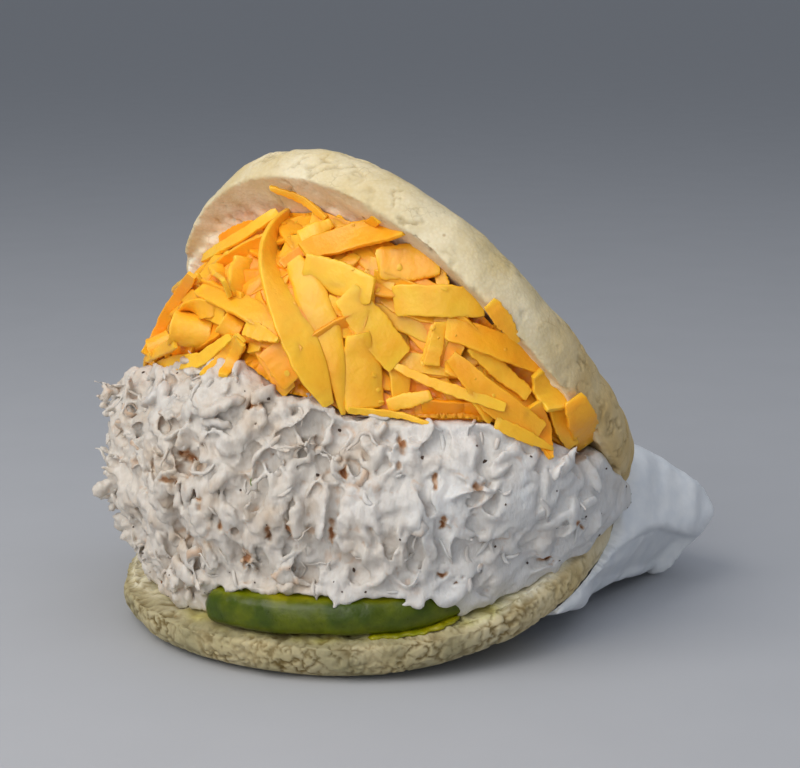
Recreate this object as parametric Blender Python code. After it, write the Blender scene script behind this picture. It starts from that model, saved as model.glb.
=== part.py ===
"""A split arepa: a round corn cake opened like a book, filled with chicken salad, shredded cheese and
avocado, with a paper wrap round its closed back.

Metres, +Z up. The model is laid out from the centre of the lower leaf, with the table at z = 0, the mouth
towards -X and the hinge towards +X, and is moved at the end so that the middle of its footprint is the origin.
"""

import math

import bmesh
import bpy
from mathutils import Matrix, Vector, noise

MM = 0.001

# The cake before it was opened: a disc cut in two leaves of one thickness.
CAKE_RADIUS = 57 * MM
LEAF_THICKNESS = 11 * MM
UPPER_FULLNESS = 1.1
CRUST_STRAIGHT = 0.3 * LEAF_THICKNESS
CRUST_ROUND = 7 * MM

# How the leaves stand. "Along" runs from the mouth (-) to the hinge (+), and "across" is Y.
HINGE_ALONG = 42 * MM
LOWER_BEND_START = -38 * MM
LOWER_BEND_AT_HINGE = math.radians(28)
LOWER_BEND_RADIUS = (HINGE_ALONG - LOWER_BEND_START) / LOWER_BEND_AT_HINGE
UPPER_TILT = math.radians(46)
UPPER_YAW = math.radians(12)
UPPER_DROOP = 12 * MM

# Hand shaping, as (bearing, mm) stops. Bearings run in degrees round a leaf: 0 at the hinge, 180 at the
# mouth, 270 at the near side. First how far each rim stands out of round, then how far the filling has
# pressed the lower cut face down at the rim.
LOWER_RIM = [(0, 0.5), (95, 0.2), (145, -1.8), (190, -0.3), (235, 0.6), (285, 0.6), (322, 2.4), (360, 0.5)]
UPPER_RIM = [(0, 0.0), (130, 0.0), (190, 0.9), (240, 0.5), (300, -0.2), (360, 0.0)]
LOWER_PRESS = [(0, 0.0), (115, 0.0), (150, 2.6), (200, 3.0), (245, 2.6), (285, 0.8), (312, 0.0), (360, 0.0)]

# What fills the mouth: the level of the salad in the middle and, as (bearing, mm) stops, at its wall.
GAP = 0.4 * MM
SALAD_LEVEL_FRONT = 57.5 * MM
SALAD_LEVEL_BACK = 40 * MM
SALAD_FALL = (-24 * MM, 14 * MM)
SALAD_EDGE = [
    (0, 40), (60, 44), (110, 50), (130, 53), (160, 57), (176, 62), (188, 65), (203, 58),
    (216, 54), (240, 54), (262, 49.5), (276, 42), (286, 45), (300, 43), (315, 38), (335, 34), (360, 38.5),
]
SALAD_SQUEEZED = [(0, 0.0), (60, 0.5), (262, 3.0), (285, 5.0), (305, 6.0), (325, 5.5), (342, 2.5), (360, 0.0)]
CHICKEN_LUMPS = 1.4 * MM
CHEESE_LUMPS = 1.6 * MM
CHEESE_SINK = 2.5 * MM
FACE_SINK = 1.5 * MM
LEAST_OPENING = 4.5 * MM
LEAST_CHEESE = 4.5 * MM

# Avocado slices lie along the rim of the lower leaf: bearings are in degrees round the leaf from +X.
AVOCADO_HEIGHT = 9.3 * MM
FRONT_SLICE = {"start": 193, "end": 265, "outer": 56 * MM, "width": 12 * MM}
BACK_SLICE = {"start": 160, "end": 222, "outer": 42.4 * MM, "width": 11 * MM}

# The paper wrap: a pouch round the back that ends in a crumpled tail on the table.
PAPER_WALL = 0.8 * MM
PAPER_CLEARANCE = 0.7 * MM
PAPER_UNDER_FROM = 11 * MM
PAPER_SIDE_FROM = 37 * MM
PAPER_TOP_FROM = 48 * MM
TAIL_TIP = Vector((77.5, -35, 17)) * MM
TAIL_RIDGE = [Vector((73, -34.5, 23.5)) * MM, Vector((61, -34.5, 31.5)) * MM, Vector((66, 20, 22)) * MM]
TAIL_FOOT = [Vector((68.5, -28.5, 1.5)) * MM, Vector((70, -4, 1.5)) * MM, Vector((62, 24, 1.5)) * MM]
TAIL_FAR = Vector((75, 16, 9)) * MM

AROUND = 54
LEAST_EDGE = 0.45 * MM

COLOURS = {
    "corn_cake": (0.86, 0.77, 0.55, 0.85),
    "chicken_salad": (0.80, 0.77, 0.71, 0.45),
    "shredded_cheese": (0.93, 0.58, 0.10, 0.40),
    "avocado": (0.24, 0.32, 0.03, 0.35),
    "paper": (0.86, 0.88, 0.90, 0.50),
}


def clear_scene():
    for obj in list(bpy.data.objects):
        bpy.data.objects.remove(obj)


def material(name):
    red, green, blue, roughness = COLOURS[name]
    made = bpy.data.materials.get(name) or bpy.data.materials.new(name)
    made.use_nodes = True
    shader = made.node_tree.nodes["Principled BSDF"]
    shader.inputs["Base Color"].default_value = (red, green, blue, 1)
    shader.inputs["Roughness"].default_value = roughness
    shader.inputs["Metallic"].default_value = 0
    return made


def smoothstep(low, high, value):
    t = min(1.0, max(0.0, (value - low) / (high - low)))
    return t * t * (3 - 2 * t)


def mix(a, b, share):
    return a + (b - a) * share


def through(stops, at):
    """A value read from (place, value) stops with smooth joins between them."""
    for (left, low), (right, high) in zip(stops, stops[1:]):
        if at <= right:
            return mix(low, high, smoothstep(left, right, at))
    return stops[-1][1]


def add_mesh(name, points, faces, material_name):
    mesh = bpy.data.meshes.new(name)
    mesh.from_pydata([tuple(p) for p in points], [], faces)
    work = bmesh.new()
    work.from_mesh(mesh)
    bmesh.ops.recalc_face_normals(work, faces=work.faces)
    work.to_mesh(mesh)
    work.free()
    mesh.materials.append(material(material_name))
    mesh.shade_smooth()
    mesh.set_sharp_from_angle(angle=math.radians(40))
    obj = bpy.data.objects.new(name, mesh)
    bpy.context.scene.collection.objects.link(obj)
    return obj


def ring_solid(name, rings, material_name):
    """A closed solid through rings of equal length, whose first and last rings are closed by a point."""
    count = len(rings[1])
    points = [rings[0][0]]
    for ring in rings[1:-1]:
        points += ring
    points.append(rings[-1][0])
    last = len(points) - 1
    faces = [(0, 1 + i, 1 + (i + 1) % count) for i in range(count)]
    for k in range(len(rings) - 3):
        low, high = 1 + k * count, 1 + (k + 1) * count
        for i in range(count):
            j = (i + 1) % count
            faces.append((low + i, high + i, high + j, low + j))
    low = 1 + (len(rings) - 3) * count
    faces += [(low + (i + 1) % count, low + i, last) for i in range(count)]
    return add_mesh(name, points, faces, material_name)


def use_boolean(obj, operation, other):
    modifier = obj.modifiers.new(f"{operation.lower()} {other.name}", "BOOLEAN")
    modifier.operation = operation
    modifier.solver = "EXACT"
    modifier.object = other
    other.hide_render = True
    other.display_type = "WIRE"


# ---- The two leaves -------------------------------------------------------------------------------


def degrees_of(bearing):
    return math.degrees(bearing) % 360


def rim_radius(bearing, rim):
    return CAKE_RADIUS + through(rim, degrees_of(bearing)) * MM


def press_at(along, across):
    """How far down the filling has pressed the lower cut face, which is most at the rim."""
    bearing = math.atan2(across, along)
    share = math.hypot(along, across) / rim_radius(bearing, LOWER_RIM)
    return through(LOWER_PRESS, degrees_of(bearing)) * MM * smoothstep(0.5, 1.0, share)


def lower_point(along, across, depth):
    """A point of the lower leaf: depth is measured from its cut face down to its crust.

    The leaf lies flat from the mouth to LOWER_BEND_START and then rises on one arc.
    """
    turn = max(0.0, along - LOWER_BEND_START) / LOWER_BEND_RADIUS
    x = min(along, LOWER_BEND_START) + LOWER_BEND_RADIUS * math.sin(turn)
    z = LEAF_THICKNESS + LOWER_BEND_RADIUS * (1 - math.cos(turn))
    down = depth + press_at(along, across) * min(1.0, max(0.0, 1 - depth / LEAF_THICKNESS))
    return Vector((x + down * math.sin(turn), across, z - down * math.cos(turn)))


HINGE = lower_point(HINGE_ALONG, 0, 0)


def upper_point(along, across, depth):
    """A point of the upper leaf: depth is measured from its cut face out to its crust.

    The leaf leans back over the filling, its sides droop round it, and it is turned a little on the hinge.
    """
    from_hinge = HINGE_ALONG - along
    out = depth * UPPER_FULLNESS - UPPER_DROOP * (across / CAKE_RADIUS) ** 2
    x = -from_hinge * math.cos(UPPER_TILT) + out * math.sin(UPPER_TILT)
    z = from_hinge * math.sin(UPPER_TILT) + out * math.cos(UPPER_TILT)
    turned = Matrix.Rotation(UPPER_YAW, 3, "Z") @ Vector((x, across, 0))
    return HINGE + turned + Vector((0, 0, z))


def leaf(name, place, rim, swell):
    """One leaf: the cut face, a rim that is straight and then rounds over, and the crust."""
    cut_rings = [0.28, 0.54, 0.78]
    crust_rings = [0.76, 0.38]
    rim_steps = 4
    crust = LEAF_THICKNESS + swell

    def ring(inset, depth, share=1.0):
        points = []
        for i in range(AROUND):
            bearing = math.tau * i / AROUND
            radius = (rim_radius(bearing, rim) + swell - inset) * share
            points.append(place(radius * math.cos(bearing), radius * math.sin(bearing), depth))
        return points

    rings = [[place(0, 0, -swell)]]
    rings += [ring(0, -swell, share) for share in cut_rings]
    rings.append(ring(0, -swell))
    for k in range(rim_steps + 1):
        turn = math.pi / 2 * k / rim_steps
        inset = CRUST_ROUND * (1 - math.cos(turn))
        rings.append(ring(inset, mix(CRUST_STRAIGHT, crust, math.sin(turn))))
    rings += [ring(CRUST_ROUND, crust, share) for share in crust_rings]
    rings.append([place(0, 0, crust)])
    return ring_solid(name, rings, "corn_cake")


def spread(points, distance):
    """Fourteen points round each one, so that their hull stands off by about that distance."""
    steps = [Vector(v) for v in ((1, 0, 0), (-1, 0, 0), (0, 1, 0), (0, -1, 0), (0, 0, 1), (0, 0, -1))]
    steps += [Vector((a, b, c)).normalized() for a in (1, -1) for b in (1, -1) for c in (1, -1)]
    return [p + step * distance for p in points for step in steps]


def thinned(points):
    """The points again, without those that crowd one already kept."""
    kept = []
    for p in points:
        if all((p - q).length > LEAST_EDGE for q in kept):
            kept.append(p)
    return kept


def hull_solid(name, points, material_name):
    work = bmesh.new()
    for p in thinned(points):
        work.verts.new(p)
    result = bmesh.ops.convex_hull(work, input=work.verts)
    spare = {v for v in result["geom_interior"] + result["geom_unused"] if isinstance(v, bmesh.types.BMVert)}
    bmesh.ops.delete(work, geom=list(spare), context="VERTS")
    work.verts.index_update()
    faces = [[v.index for v in f.verts] for f in work.faces]
    corners = [v.co.copy() for v in work.verts]
    work.free()
    return add_mesh(name, corners, faces, material_name)


def back_points(place, rim, front, swell=0.0, crust_only=False):
    """Points of one leaf's back, from `front` to the rim, on its cut face, its rim and its crust."""
    crust = LEAF_THICKNESS + swell
    section = [(0, -swell), (0, CRUST_STRAIGHT), (0.3 * CRUST_ROUND, 0.8 * crust), (CRUST_ROUND, crust)]
    if crust_only:
        section = section[2:]
    found = []
    for i in range(AROUND):
        bearing = math.tau * i / AROUND
        for inset, depth in section:
            radius = rim_radius(bearing, rim) + swell - inset
            if radius > abs(front):
                along = max(front, radius * math.cos(bearing))
                limit = math.sqrt(radius**2 - along**2)
                across = max(-limit, min(limit, radius * math.sin(bearing)))
                found.append(place(along, across, depth))
    return found


def corn_cake(name, swell=0.0):
    """Both leaves and the uncut spine of dough that joins them at the back, all made larger by `swell`."""
    cake = leaf(name, lower_point, LOWER_RIM, swell)
    upper = leaf(f"{name}_upper", upper_point, UPPER_RIM, swell)
    front = HINGE_ALONG - 1 * MM - swell
    joined = back_points(lower_point, LOWER_RIM, front, swell)
    joined += back_points(upper_point, UPPER_RIM, front, swell)
    spine = hull_solid(f"{name}_spine", joined, "corn_cake")
    use_boolean(cake, "UNION", upper)
    use_boolean(cake, "UNION", spine)
    return cake


# ---- The filling ----------------------------------------------------------------------------------


def between(along, across, share):
    """A point between the leaves: share 0 lies just under the lower cut face and 1 just above the upper one."""
    return lower_point(along, across, FACE_SINK).lerp(upper_point(along, across, FACE_SINK), share)


def opening_at(along, across):
    return upper_point(along, across, 0).z - lower_point(along, across, 0).z


def reach(bearing, inset, is_open):
    """How far the filling goes from the centre on this bearing before the leaves close in on it."""
    limit = CAKE_RADIUS + min(through(LOWER_RIM, degrees_of(bearing)), 1.0) * MM - inset
    step = 0.5 * MM
    radius = 10 * MM
    while radius < limit and is_open(radius * math.cos(bearing), radius * math.sin(bearing)):
        radius += step
    return min(radius, limit)


def chicken_share(along, across):
    """Where the top of the salad lies between the leaves: a slope inside, uneven at the wall."""
    slope = mix(SALAD_LEVEL_FRONT, SALAD_LEVEL_BACK, smoothstep(*SALAD_FALL, along))
    wall = through(SALAD_EDGE, degrees_of(math.atan2(across, along))) * MM
    level = mix(slope, wall, smoothstep(0.35, 0.9, math.hypot(along, across) / CAKE_RADIUS))
    low = between(along, across, 0).z
    high = between(along, across, 1).z
    # Where there is too little room left for cheese, the salad fills it.
    room = high - level
    room *= smoothstep(2 * MM, 7 * MM, room)
    return min(1.0, (high - room - low) / (high - low))


def mouth_side(bearing):
    """1 on the left of the mouth, 0 at the near side, and partly on along the far side."""
    stops = [(0, 0.0), (60, 0.3), (110, 0.7), (150, 1.0), (190, 1.0), (222, 0.0), (360, 0.0)]
    return through(stops, degrees_of(bearing))


def chicken_bulge(bearing, height):
    """How far the wall of the salad stands out past a line from rim to rim, from its foot (0) to its top (1)."""
    left = through([(0, -6.0), (0.22, 1.5), (0.6, 11.5), (0.85, 13.5), (1, 10.0)], height)
    near = through([(0, -4), (0.3, -0.5), (0.6, 3.0), (0.85, 2.0), (1, -1.5)], height)
    wall = mix(near, left, mouth_side(bearing))
    squeezed = through(SALAD_SQUEEZED, degrees_of(bearing)) * math.sin(math.pi * height) ** 0.7
    closing = abs((degrees_of(bearing) + 180) % 360 - 180)
    return mix(wall, squeezed, smoothstep(95, 65, closing)) * MM


def lump(point, size, amount, seed):
    return amount * noise.noise(point / size + Vector((seed, 0, 0)))


def chicken_salad(name, swell=0.0):
    """The heap of salad between the leaves, before what it rests against is cut from it."""
    rings_below = [0.5]
    wall_steps = 9
    rings_above = [0.86, 0.7, 0.52, 0.34]

    def column(bearing):
        return reach(bearing, 1.5 * MM, lambda along, across: opening_at(along, across) > LEAST_OPENING)

    def point(bearing, share_out, height):
        radius = column(bearing) * share_out
        along, across = radius * math.cos(bearing), radius * math.sin(bearing)
        placed = between(along, across, height * chicken_share(along, across))
        outward = Vector((math.cos(bearing), math.sin(bearing), 0))
        placed += outward * chicken_bulge(bearing, height) * share_out
        if 0 < height < 1:
            placed += outward * lump(placed, 11 * MM, CHICKEN_LUMPS, 3)
        return placed + Vector((0, 0, swell))

    def ring(share_out, height):
        return [point(math.tau * i / AROUND, share_out, height) for i in range(AROUND)]

    rings = [[between(0, 0, 0)]]
    rings += [ring(share, 0) for share in rings_below]
    rings += [ring(1, k / wall_steps) for k in range(wall_steps + 1)]
    rings += [ring(share, 1) for share in rings_above]
    rings.append([between(0, 0, chicken_share(0, 0)) + Vector((0, 0, swell))])
    return ring_solid(name, rings, "chicken_salad")


def cheese_inset(bearing):
    """How far the heap of cheese stops short of the upper leaf's rim."""
    stops = [(0, 2), (90, 6), (150, 6), (190, 6), (225, 3), (300, 1.5), (360, 2)]
    return through(stops, degrees_of(bearing)) * MM


def cheese_bulge(bearing, height):
    """How far the cheese spills out over the left of the mouth, most at its foot."""
    stops = [(0, 8.5), (0.2, 12.5), (0.5, 11.0), (0.75, 7.5), (1, 1.0)]
    return through(stops, height) * mouth_side(bearing) * MM


def shredded_cheese():
    rings_below = [0.5]
    wall_steps = 6
    rings_above = [0.6]

    def has_room(along, across):
        return (1 - chicken_share(along, across)) * opening_at(along, across) > LEAST_CHEESE

    def floor_share(along, across):
        return chicken_share(along, across) - CHEESE_SINK / max(LEAST_CHEESE, opening_at(along, across))

    def point(bearing, share_out, height):
        edge = reach(bearing, 4 * MM, has_room)
        inset = cheese_inset(bearing) * height**1.5
        radius = (edge - inset) * share_out
        along, across = radius * math.cos(bearing), radius * math.sin(bearing)
        placed = between(along, across, mix(floor_share(along, across), 1, height))
        outward = Vector((math.cos(bearing), math.sin(bearing), 0))
        placed += outward * cheese_bulge(bearing, height) * share_out
        if 0 < height < 1:
            placed += outward * lump(placed, 9 * MM, CHEESE_LUMPS, 8)
        return placed

    def ring(share_out, height):
        return [point(math.tau * i / AROUND, share_out, height) for i in range(AROUND)]

    rings = [[between(0, 0, floor_share(0, 0))]]
    rings += [ring(share, 0) for share in rings_below]
    rings += [ring(1, k / wall_steps) for k in range(wall_steps + 1)]
    rings += [ring(share, 1) for share in rings_above]
    rings.append([between(0, 0, 1)])
    return ring_solid("shredded_cheese", rings, "shredded_cheese")


def avocado_slice(name, size, swell=0.0):
    """A crescent of avocado lying on the lower leaf: flat below, round at its outer side, tapered to its ends.

    `swell` makes the same slice larger all round, to cut the salad clear of it.
    """
    stations = 14
    section = 12
    start, end = math.radians(size["start"]), math.radians(size["end"])
    middle_radius = size["outer"] - size["width"] / 2
    rings = []
    for k in range(stations + 1):
        at = k / stations
        taper = math.sqrt(max(0.0, 1 - (2 * at - 1) ** 4))
        taper = mix(taper, taper * (1 - 0.35 * at), 0.8)
        bearing = mix(start, end, at)
        overrun = swell * (2 * at - 1) / middle_radius
        bearing += overrun
        half = size["width"] / 2 * taper + swell
        high = AVOCADO_HEIGHT * mix(0.55, 1.0, taper) + swell
        low = GAP - swell
        ring = []
        for i in range(section):
            turn = math.tau * i / section
            out = math.copysign(abs(math.cos(turn)) ** 0.7, math.cos(turn))
            rise = math.copysign(abs(math.sin(turn)) ** 0.7, math.sin(turn))
            radius = middle_radius + half * out
            above = mix(low, high, (rise + 1) / 2)
            ring.append(lower_point(radius * math.cos(bearing), radius * math.sin(bearing), -above))
        if k in (0, stations):
            ring = [sum(ring, Vector()) / section]
        rings.append(ring)
    return ring_solid(name, rings, "avocado")


# ---- The paper wrap -------------------------------------------------------------------------------


def pouch_points():
    """What the paper is pulled round: the backs of both leaves, and its own tail on the table."""
    cake = back_points(lower_point, LOWER_RIM, PAPER_UNDER_FROM, crust_only=True)
    cake += back_points(lower_point, LOWER_RIM, HINGE_ALONG - 2 * MM)
    cake += back_points(upper_point, UPPER_RIM, HINGE_ALONG - 2 * MM)
    return cake + [TAIL_TIP, TAIL_FAR, *TAIL_RIDGE, *TAIL_FOOT]


def mouth_cutter():
    """Everything in front of the paper's edge: over the lower leaf's rim, and forward of the spine."""
    steps = 10
    half_width = 90 * MM
    outline = [(-95 * MM, -10 * MM), (PAPER_UNDER_FROM, -10 * MM)]
    for k in range(steps + 1):
        along = mix(PAPER_UNDER_FROM, PAPER_SIDE_FROM, k / steps)
        edge = lower_point(along, 0, 0.9 * LEAF_THICKNESS)
        outline.append((edge.x, edge.z))
    outline += [(PAPER_TOP_FROM - 3 * MM, 50 * MM), (PAPER_TOP_FROM, 130 * MM), (-95 * MM, 130 * MM)]
    count = len(outline)
    points = [Vector((x, side * half_width, z)) for side in (-1, 1) for x, z in outline]
    faces = [tuple(range(count)), tuple(range(2 * count - 1, count - 1, -1))]
    faces += [(i, (i + 1) % count, count + (i + 1) % count, count + i) for i in range(count)]
    return add_mesh("mouth_tool", points, faces, "paper")


def paper_wrap(clear_of_cake):
    """A thin pouch: an outer hull, hollowed by an inner one, cut open towards the mouth and fitted to the cake."""
    held = pouch_points()
    wrap = hull_solid("paper_wrap", spread(held, PAPER_CLEARANCE + PAPER_WALL), "paper")
    hollow = hull_solid("hollow_tool", spread(held, PAPER_CLEARANCE), "paper")
    use_boolean(wrap, "DIFFERENCE", hollow)
    use_boolean(wrap, "DIFFERENCE", mouth_cutter())
    use_boolean(wrap, "DIFFERENCE", clear_of_cake)
    return wrap


def stand_on_origin(objects):
    """Moves the whole object so that the middle of its footprint is the origin."""
    bpy.context.view_layer.update()
    graph = bpy.context.evaluated_depsgraph_get()
    corners = []
    for obj in objects:
        if not obj.hide_render:
            whole = obj.evaluated_get(graph)
            corners += [whole.matrix_world @ Vector(c) for c in whole.bound_box]
    middle_x = (min(c.x for c in corners) + max(c.x for c in corners)) / 2
    middle_y = (min(c.y for c in corners) + max(c.y for c in corners)) / 2
    for obj in objects:
        obj.location = (-middle_x, -middle_y, 0)


def fill_mouth(clear_of_cake):
    """The filling, with what lies against each piece cut clear of it."""
    salad = chicken_salad("chicken_salad")
    cheese = shredded_cheese()
    use_boolean(salad, "DIFFERENCE", clear_of_cake)
    use_boolean(cheese, "DIFFERENCE", clear_of_cake)
    use_boolean(cheese, "DIFFERENCE", chicken_salad("clear_of_salad", GAP))
    for name, size in (("avocado_front", FRONT_SLICE), ("avocado_back", BACK_SLICE)):
        avocado_slice(name, size)
        use_boolean(salad, "DIFFERENCE", avocado_slice(f"clear_of_{name}", size, GAP))


def build():
    clear_scene()
    corn_cake("corn_cake")
    clear_of_cake = corn_cake("clear_of_cake", GAP)
    fill_mouth(clear_of_cake)
    paper_wrap(clear_of_cake)
    stand_on_origin(list(bpy.data.objects))


build()
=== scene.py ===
"""The dressed model of a filled arepa: a split corn cake, chicken salad, shredded cheese, avocado and a wrap.

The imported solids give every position. The cake, the salad and the avocado grow out of copies of their own
solids; the cheese is cut and laid strip by strip; the wrap is a thin creased sheet over its solid's outside.
"""

import math
import random

import bmesh
import bpy
import numpy as np
from mathutils import Matrix, Vector, noise
from mathutils.bvhtree import BVHTree


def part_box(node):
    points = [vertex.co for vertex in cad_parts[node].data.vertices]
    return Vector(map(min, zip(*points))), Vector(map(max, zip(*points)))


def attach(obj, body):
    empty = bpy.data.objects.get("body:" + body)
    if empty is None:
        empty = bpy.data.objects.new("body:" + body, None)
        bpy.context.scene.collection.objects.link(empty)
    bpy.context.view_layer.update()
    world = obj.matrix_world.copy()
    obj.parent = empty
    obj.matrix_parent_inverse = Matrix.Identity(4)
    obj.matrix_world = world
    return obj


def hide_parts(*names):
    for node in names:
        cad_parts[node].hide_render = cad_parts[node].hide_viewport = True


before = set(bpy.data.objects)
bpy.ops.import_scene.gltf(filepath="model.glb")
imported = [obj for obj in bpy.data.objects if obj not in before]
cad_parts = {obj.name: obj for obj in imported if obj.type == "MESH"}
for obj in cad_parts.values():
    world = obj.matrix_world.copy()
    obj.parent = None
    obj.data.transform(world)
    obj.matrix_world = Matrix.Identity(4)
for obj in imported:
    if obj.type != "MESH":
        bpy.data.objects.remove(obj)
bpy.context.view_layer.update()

MM = 0.001
CAKE_RADIUS = 57 * MM

# The solids were laid out from the middle of the lower leaf, whose mouth rim is this far from that middle
# and whose upper leaf's near rim is this far to the near side.
MOUTH_RIM_FROM_MIDDLE = 56.5 * MM
NEAR_RIM_FROM_MIDDLE = 64.5 * MM
cake_low = Vector(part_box("corn_cake")[0])
LEAF_MIDDLE = Vector((cake_low.x + MOUTH_RIM_FROM_MIDDLE, cake_low.y + NEAR_RIM_FROM_MIDDLE, 0))

# The filling is laid out as it is seen from the near left, stooping a little. "Over" runs to the right and "rise" runs up,
# both square to that line of sight.
FACING, STOOP = math.radians(-35), math.radians(12)
OVER = Vector((math.cos(FACING), math.sin(FACING), 0))
TOWARDS = Vector((math.sin(FACING), -math.cos(FACING), 0))
SIGHT = TOWARDS * math.cos(STOOP) + Vector((0, 0, math.sin(STOOP)))
RISE = SIGHT.cross(OVER)

DROP_LENGTH = 150 * MM

# ---- Small tools ----------------------------------------------------------------------------------


def mix(a, b, share):
    return a + (b - a) * share


def smoothstep(low, high, value):
    t = min(1.0, max(0.0, (value - low) / (high - low)))
    return t * t * (3 - 2 * t)


def ramp_array(low, high, values):
    t = np.clip((values - low) / (high - low), 0, 1)
    return t * t * (3 - 2 * t)


def linear(hex_colour):
    """An sRGB hex colour as the linear RGBA that the shaders use."""
    channels = [int(hex_colour[i : i + 2], 16) / 255 for i in (1, 3, 5)]
    return tuple(c / 12.92 if c <= 0.04045 else ((c + 0.055) / 1.055) ** 2.4 for c in channels) + (1.0,)


def link(obj):
    bpy.context.scene.collection.objects.link(obj)
    return obj


def mesh_object(name, points, faces):
    mesh = bpy.data.meshes.new(name)
    mesh.from_pydata([tuple(p) for p in points], [], faces)
    mesh.update()
    return link(bpy.data.objects.new(name, mesh))


def frozen(obj):
    """Bakes the object's modifiers into its mesh."""
    graph = bpy.context.evaluated_depsgraph_get()
    mesh = bpy.data.meshes.new_from_object(obj.evaluated_get(graph))
    obj.modifiers.clear()
    old = obj.data
    obj.data = mesh
    bpy.data.meshes.remove(old)
    return obj


def with_modifier(obj, kind, **settings):
    modifier = obj.modifiers.new(kind.lower(), kind)
    for name, value in settings.items():
        setattr(modifier, name, value)
    return frozen(obj)


def points_of(obj):
    flat = np.empty(len(obj.data.vertices) * 3, dtype=np.float32)
    obj.data.vertices.foreach_get("co", flat)
    return flat.reshape(-1, 3).astype(np.float64)


def normals_of(obj):
    flat = np.empty(len(obj.data.vertices) * 3, dtype=np.float32)
    obj.data.vertices.foreach_get("normal", flat)
    return flat.reshape(-1, 3).astype(np.float64)


def edges_of(obj):
    flat = np.empty(len(obj.data.edges) * 2, dtype=np.int32)
    obj.data.edges.foreach_get("vertices", flat)
    return flat.reshape(-1, 2)


def move_points(obj, points):
    obj.data.vertices.foreach_set("co", points.astype(np.float32).ravel())
    obj.data.update()


def spread_evenly(values, edges, times, amount=0.5):
    """Values at the points of a mesh, each drawn `times` over towards the mean of its neighbours."""
    values = np.array(values, dtype=np.float64)
    count = len(values)
    a, b = edges[:, 0], edges[:, 1]
    degree = np.maximum(np.bincount(a, minlength=count) + np.bincount(b, minlength=count), 1)
    columns = values.reshape(count, -1)
    for _ in range(times):
        for k in range(columns.shape[1]):
            column = columns[:, k]
            total = np.bincount(a, column[b], count) + np.bincount(b, column[a], count)
            columns[:, k] = column + amount * (total / degree - column)
    return columns.reshape(values.shape)


def paint(obj, name, values):
    """A number at each point of the mesh, for the material to read."""
    layer = obj.data.attributes.get(name) or obj.data.attributes.new(name, "FLOAT", "POINT")
    layer.data.foreach_set("value", np.clip(values, 0, 1).astype(np.float32))


def noise_at(points, size, seed):
    offset = Vector((seed * 7.3, seed * 3.1, seed * 5.7))
    return np.array([noise.noise(Vector(p) / size + offset) for p in points])


def solid_copy(node, name):
    """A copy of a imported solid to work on, with its corners welded so that no face tears off."""
    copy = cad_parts[node].data.copy()
    copy.materials.clear()
    work = bmesh.new()
    work.from_mesh(copy)
    bmesh.ops.remove_doubles(work, verts=work.verts, dist=0.001 * MM)
    work.to_mesh(copy)
    work.free()
    return link(bpy.data.objects.new(name, copy))


def tree_of(*nodes):
    """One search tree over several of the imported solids."""
    points, faces = [], []
    for node in nodes:
        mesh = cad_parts[node].data
        start = len(points)
        points += [v.co.copy() for v in mesh.vertices]
        faces += [tuple(start + i for i in p.vertices) for p in mesh.polygons]
    return BVHTree.FromPolygons(points, faces)


def is_inside(tree, point):
    nearest, normal, _, _ = tree.find_nearest(point)
    return (point - nearest).dot(normal) < 0


def triangulated(obj):
    """Corner arrays of the mesh's triangles."""
    obj.data.calc_loop_triangles()
    flat = np.empty(len(obj.data.loop_triangles) * 3, dtype=np.int32)
    obj.data.loop_triangles.foreach_get("vertices", flat)
    return flat.reshape(-1, 3)


def shown_spots(rng, node, hidden_by, count, reach=7 * MM, apart=0.0):
    """Random (point, normal) pairs, evenly over the part of a solid's surface that nothing covers."""
    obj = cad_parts[node]
    points = points_of(obj)
    corners = triangulated(obj)
    a, b, c = points[corners[:, 0]], points[corners[:, 1]], points[corners[:, 2]]
    area = np.linalg.norm(np.cross(b - a, c - a), axis=1) / 2
    running = np.cumsum(area) / area.sum()
    found = []
    for _ in range(count * 12):
        if len(found) >= count:
            break
        i = int(np.searchsorted(running, rng.random()))
        u, v = sorted((rng.random(), rng.random()))
        spot = Vector(a[i] * u + b[i] * (v - u) + c[i] * (1 - v))
        normal = Vector(np.cross(b[i] - a[i], c[i] - a[i])).normalized()
        if hidden_by.ray_cast(spot + normal * 0.05 * MM, normal, reach)[0] is not None:
            continue
        if apart and any((spot - other).length < apart for other, _ in found):
            continue
        found.append((spot, normal))
    return found


class Pile:
    """Points and faces gathered from many small pieces that end up as one mesh."""

    def __init__(self):
        self.points = []
        self.faces = []
        self.tones = []

    def add(self, points, faces, tone):
        start = len(self.points)
        self.points += points
        self.faces += [tuple(start + i for i in face) for face in faces]
        self.tones += tone if isinstance(tone, list) else [tone] * len(points)

    def finished(self, name):
        obj = mesh_object(name, self.points, self.faces)
        paint(obj, "tone", np.array(self.tones))
        return obj


def carried_frames(path, first_normal):
    """A (heading, normal, side) at each point of a path, carried along it without twisting."""
    frames = []
    normal = first_normal
    for k, _ in enumerate(path):
        before, after = path[max(k - 1, 0)], path[min(k + 1, len(path) - 1)]
        heading = (after - before).normalized()
        normal = (normal - heading * normal.dot(heading)).normalized()
        frames.append((heading, normal, heading.cross(normal)))
    return frames


def lofted(rings):
    """Points and faces of a closed solid through rings of equal length, capped flat at both ends."""
    count = len(rings[0])
    points = [p for ring in rings for p in ring]
    faces = []
    for k in range(len(rings) - 1):
        low, high = k * count, (k + 1) * count
        for i in range(count):
            j = (i + 1) % count
            faces.append((low + i, low + j, high + j, high + i))
    last = (len(rings) - 1) * count
    faces.append(tuple(range(count - 1, -1, -1)))
    faces.append(tuple(last + i for i in range(count)))
    return points, faces


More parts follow.
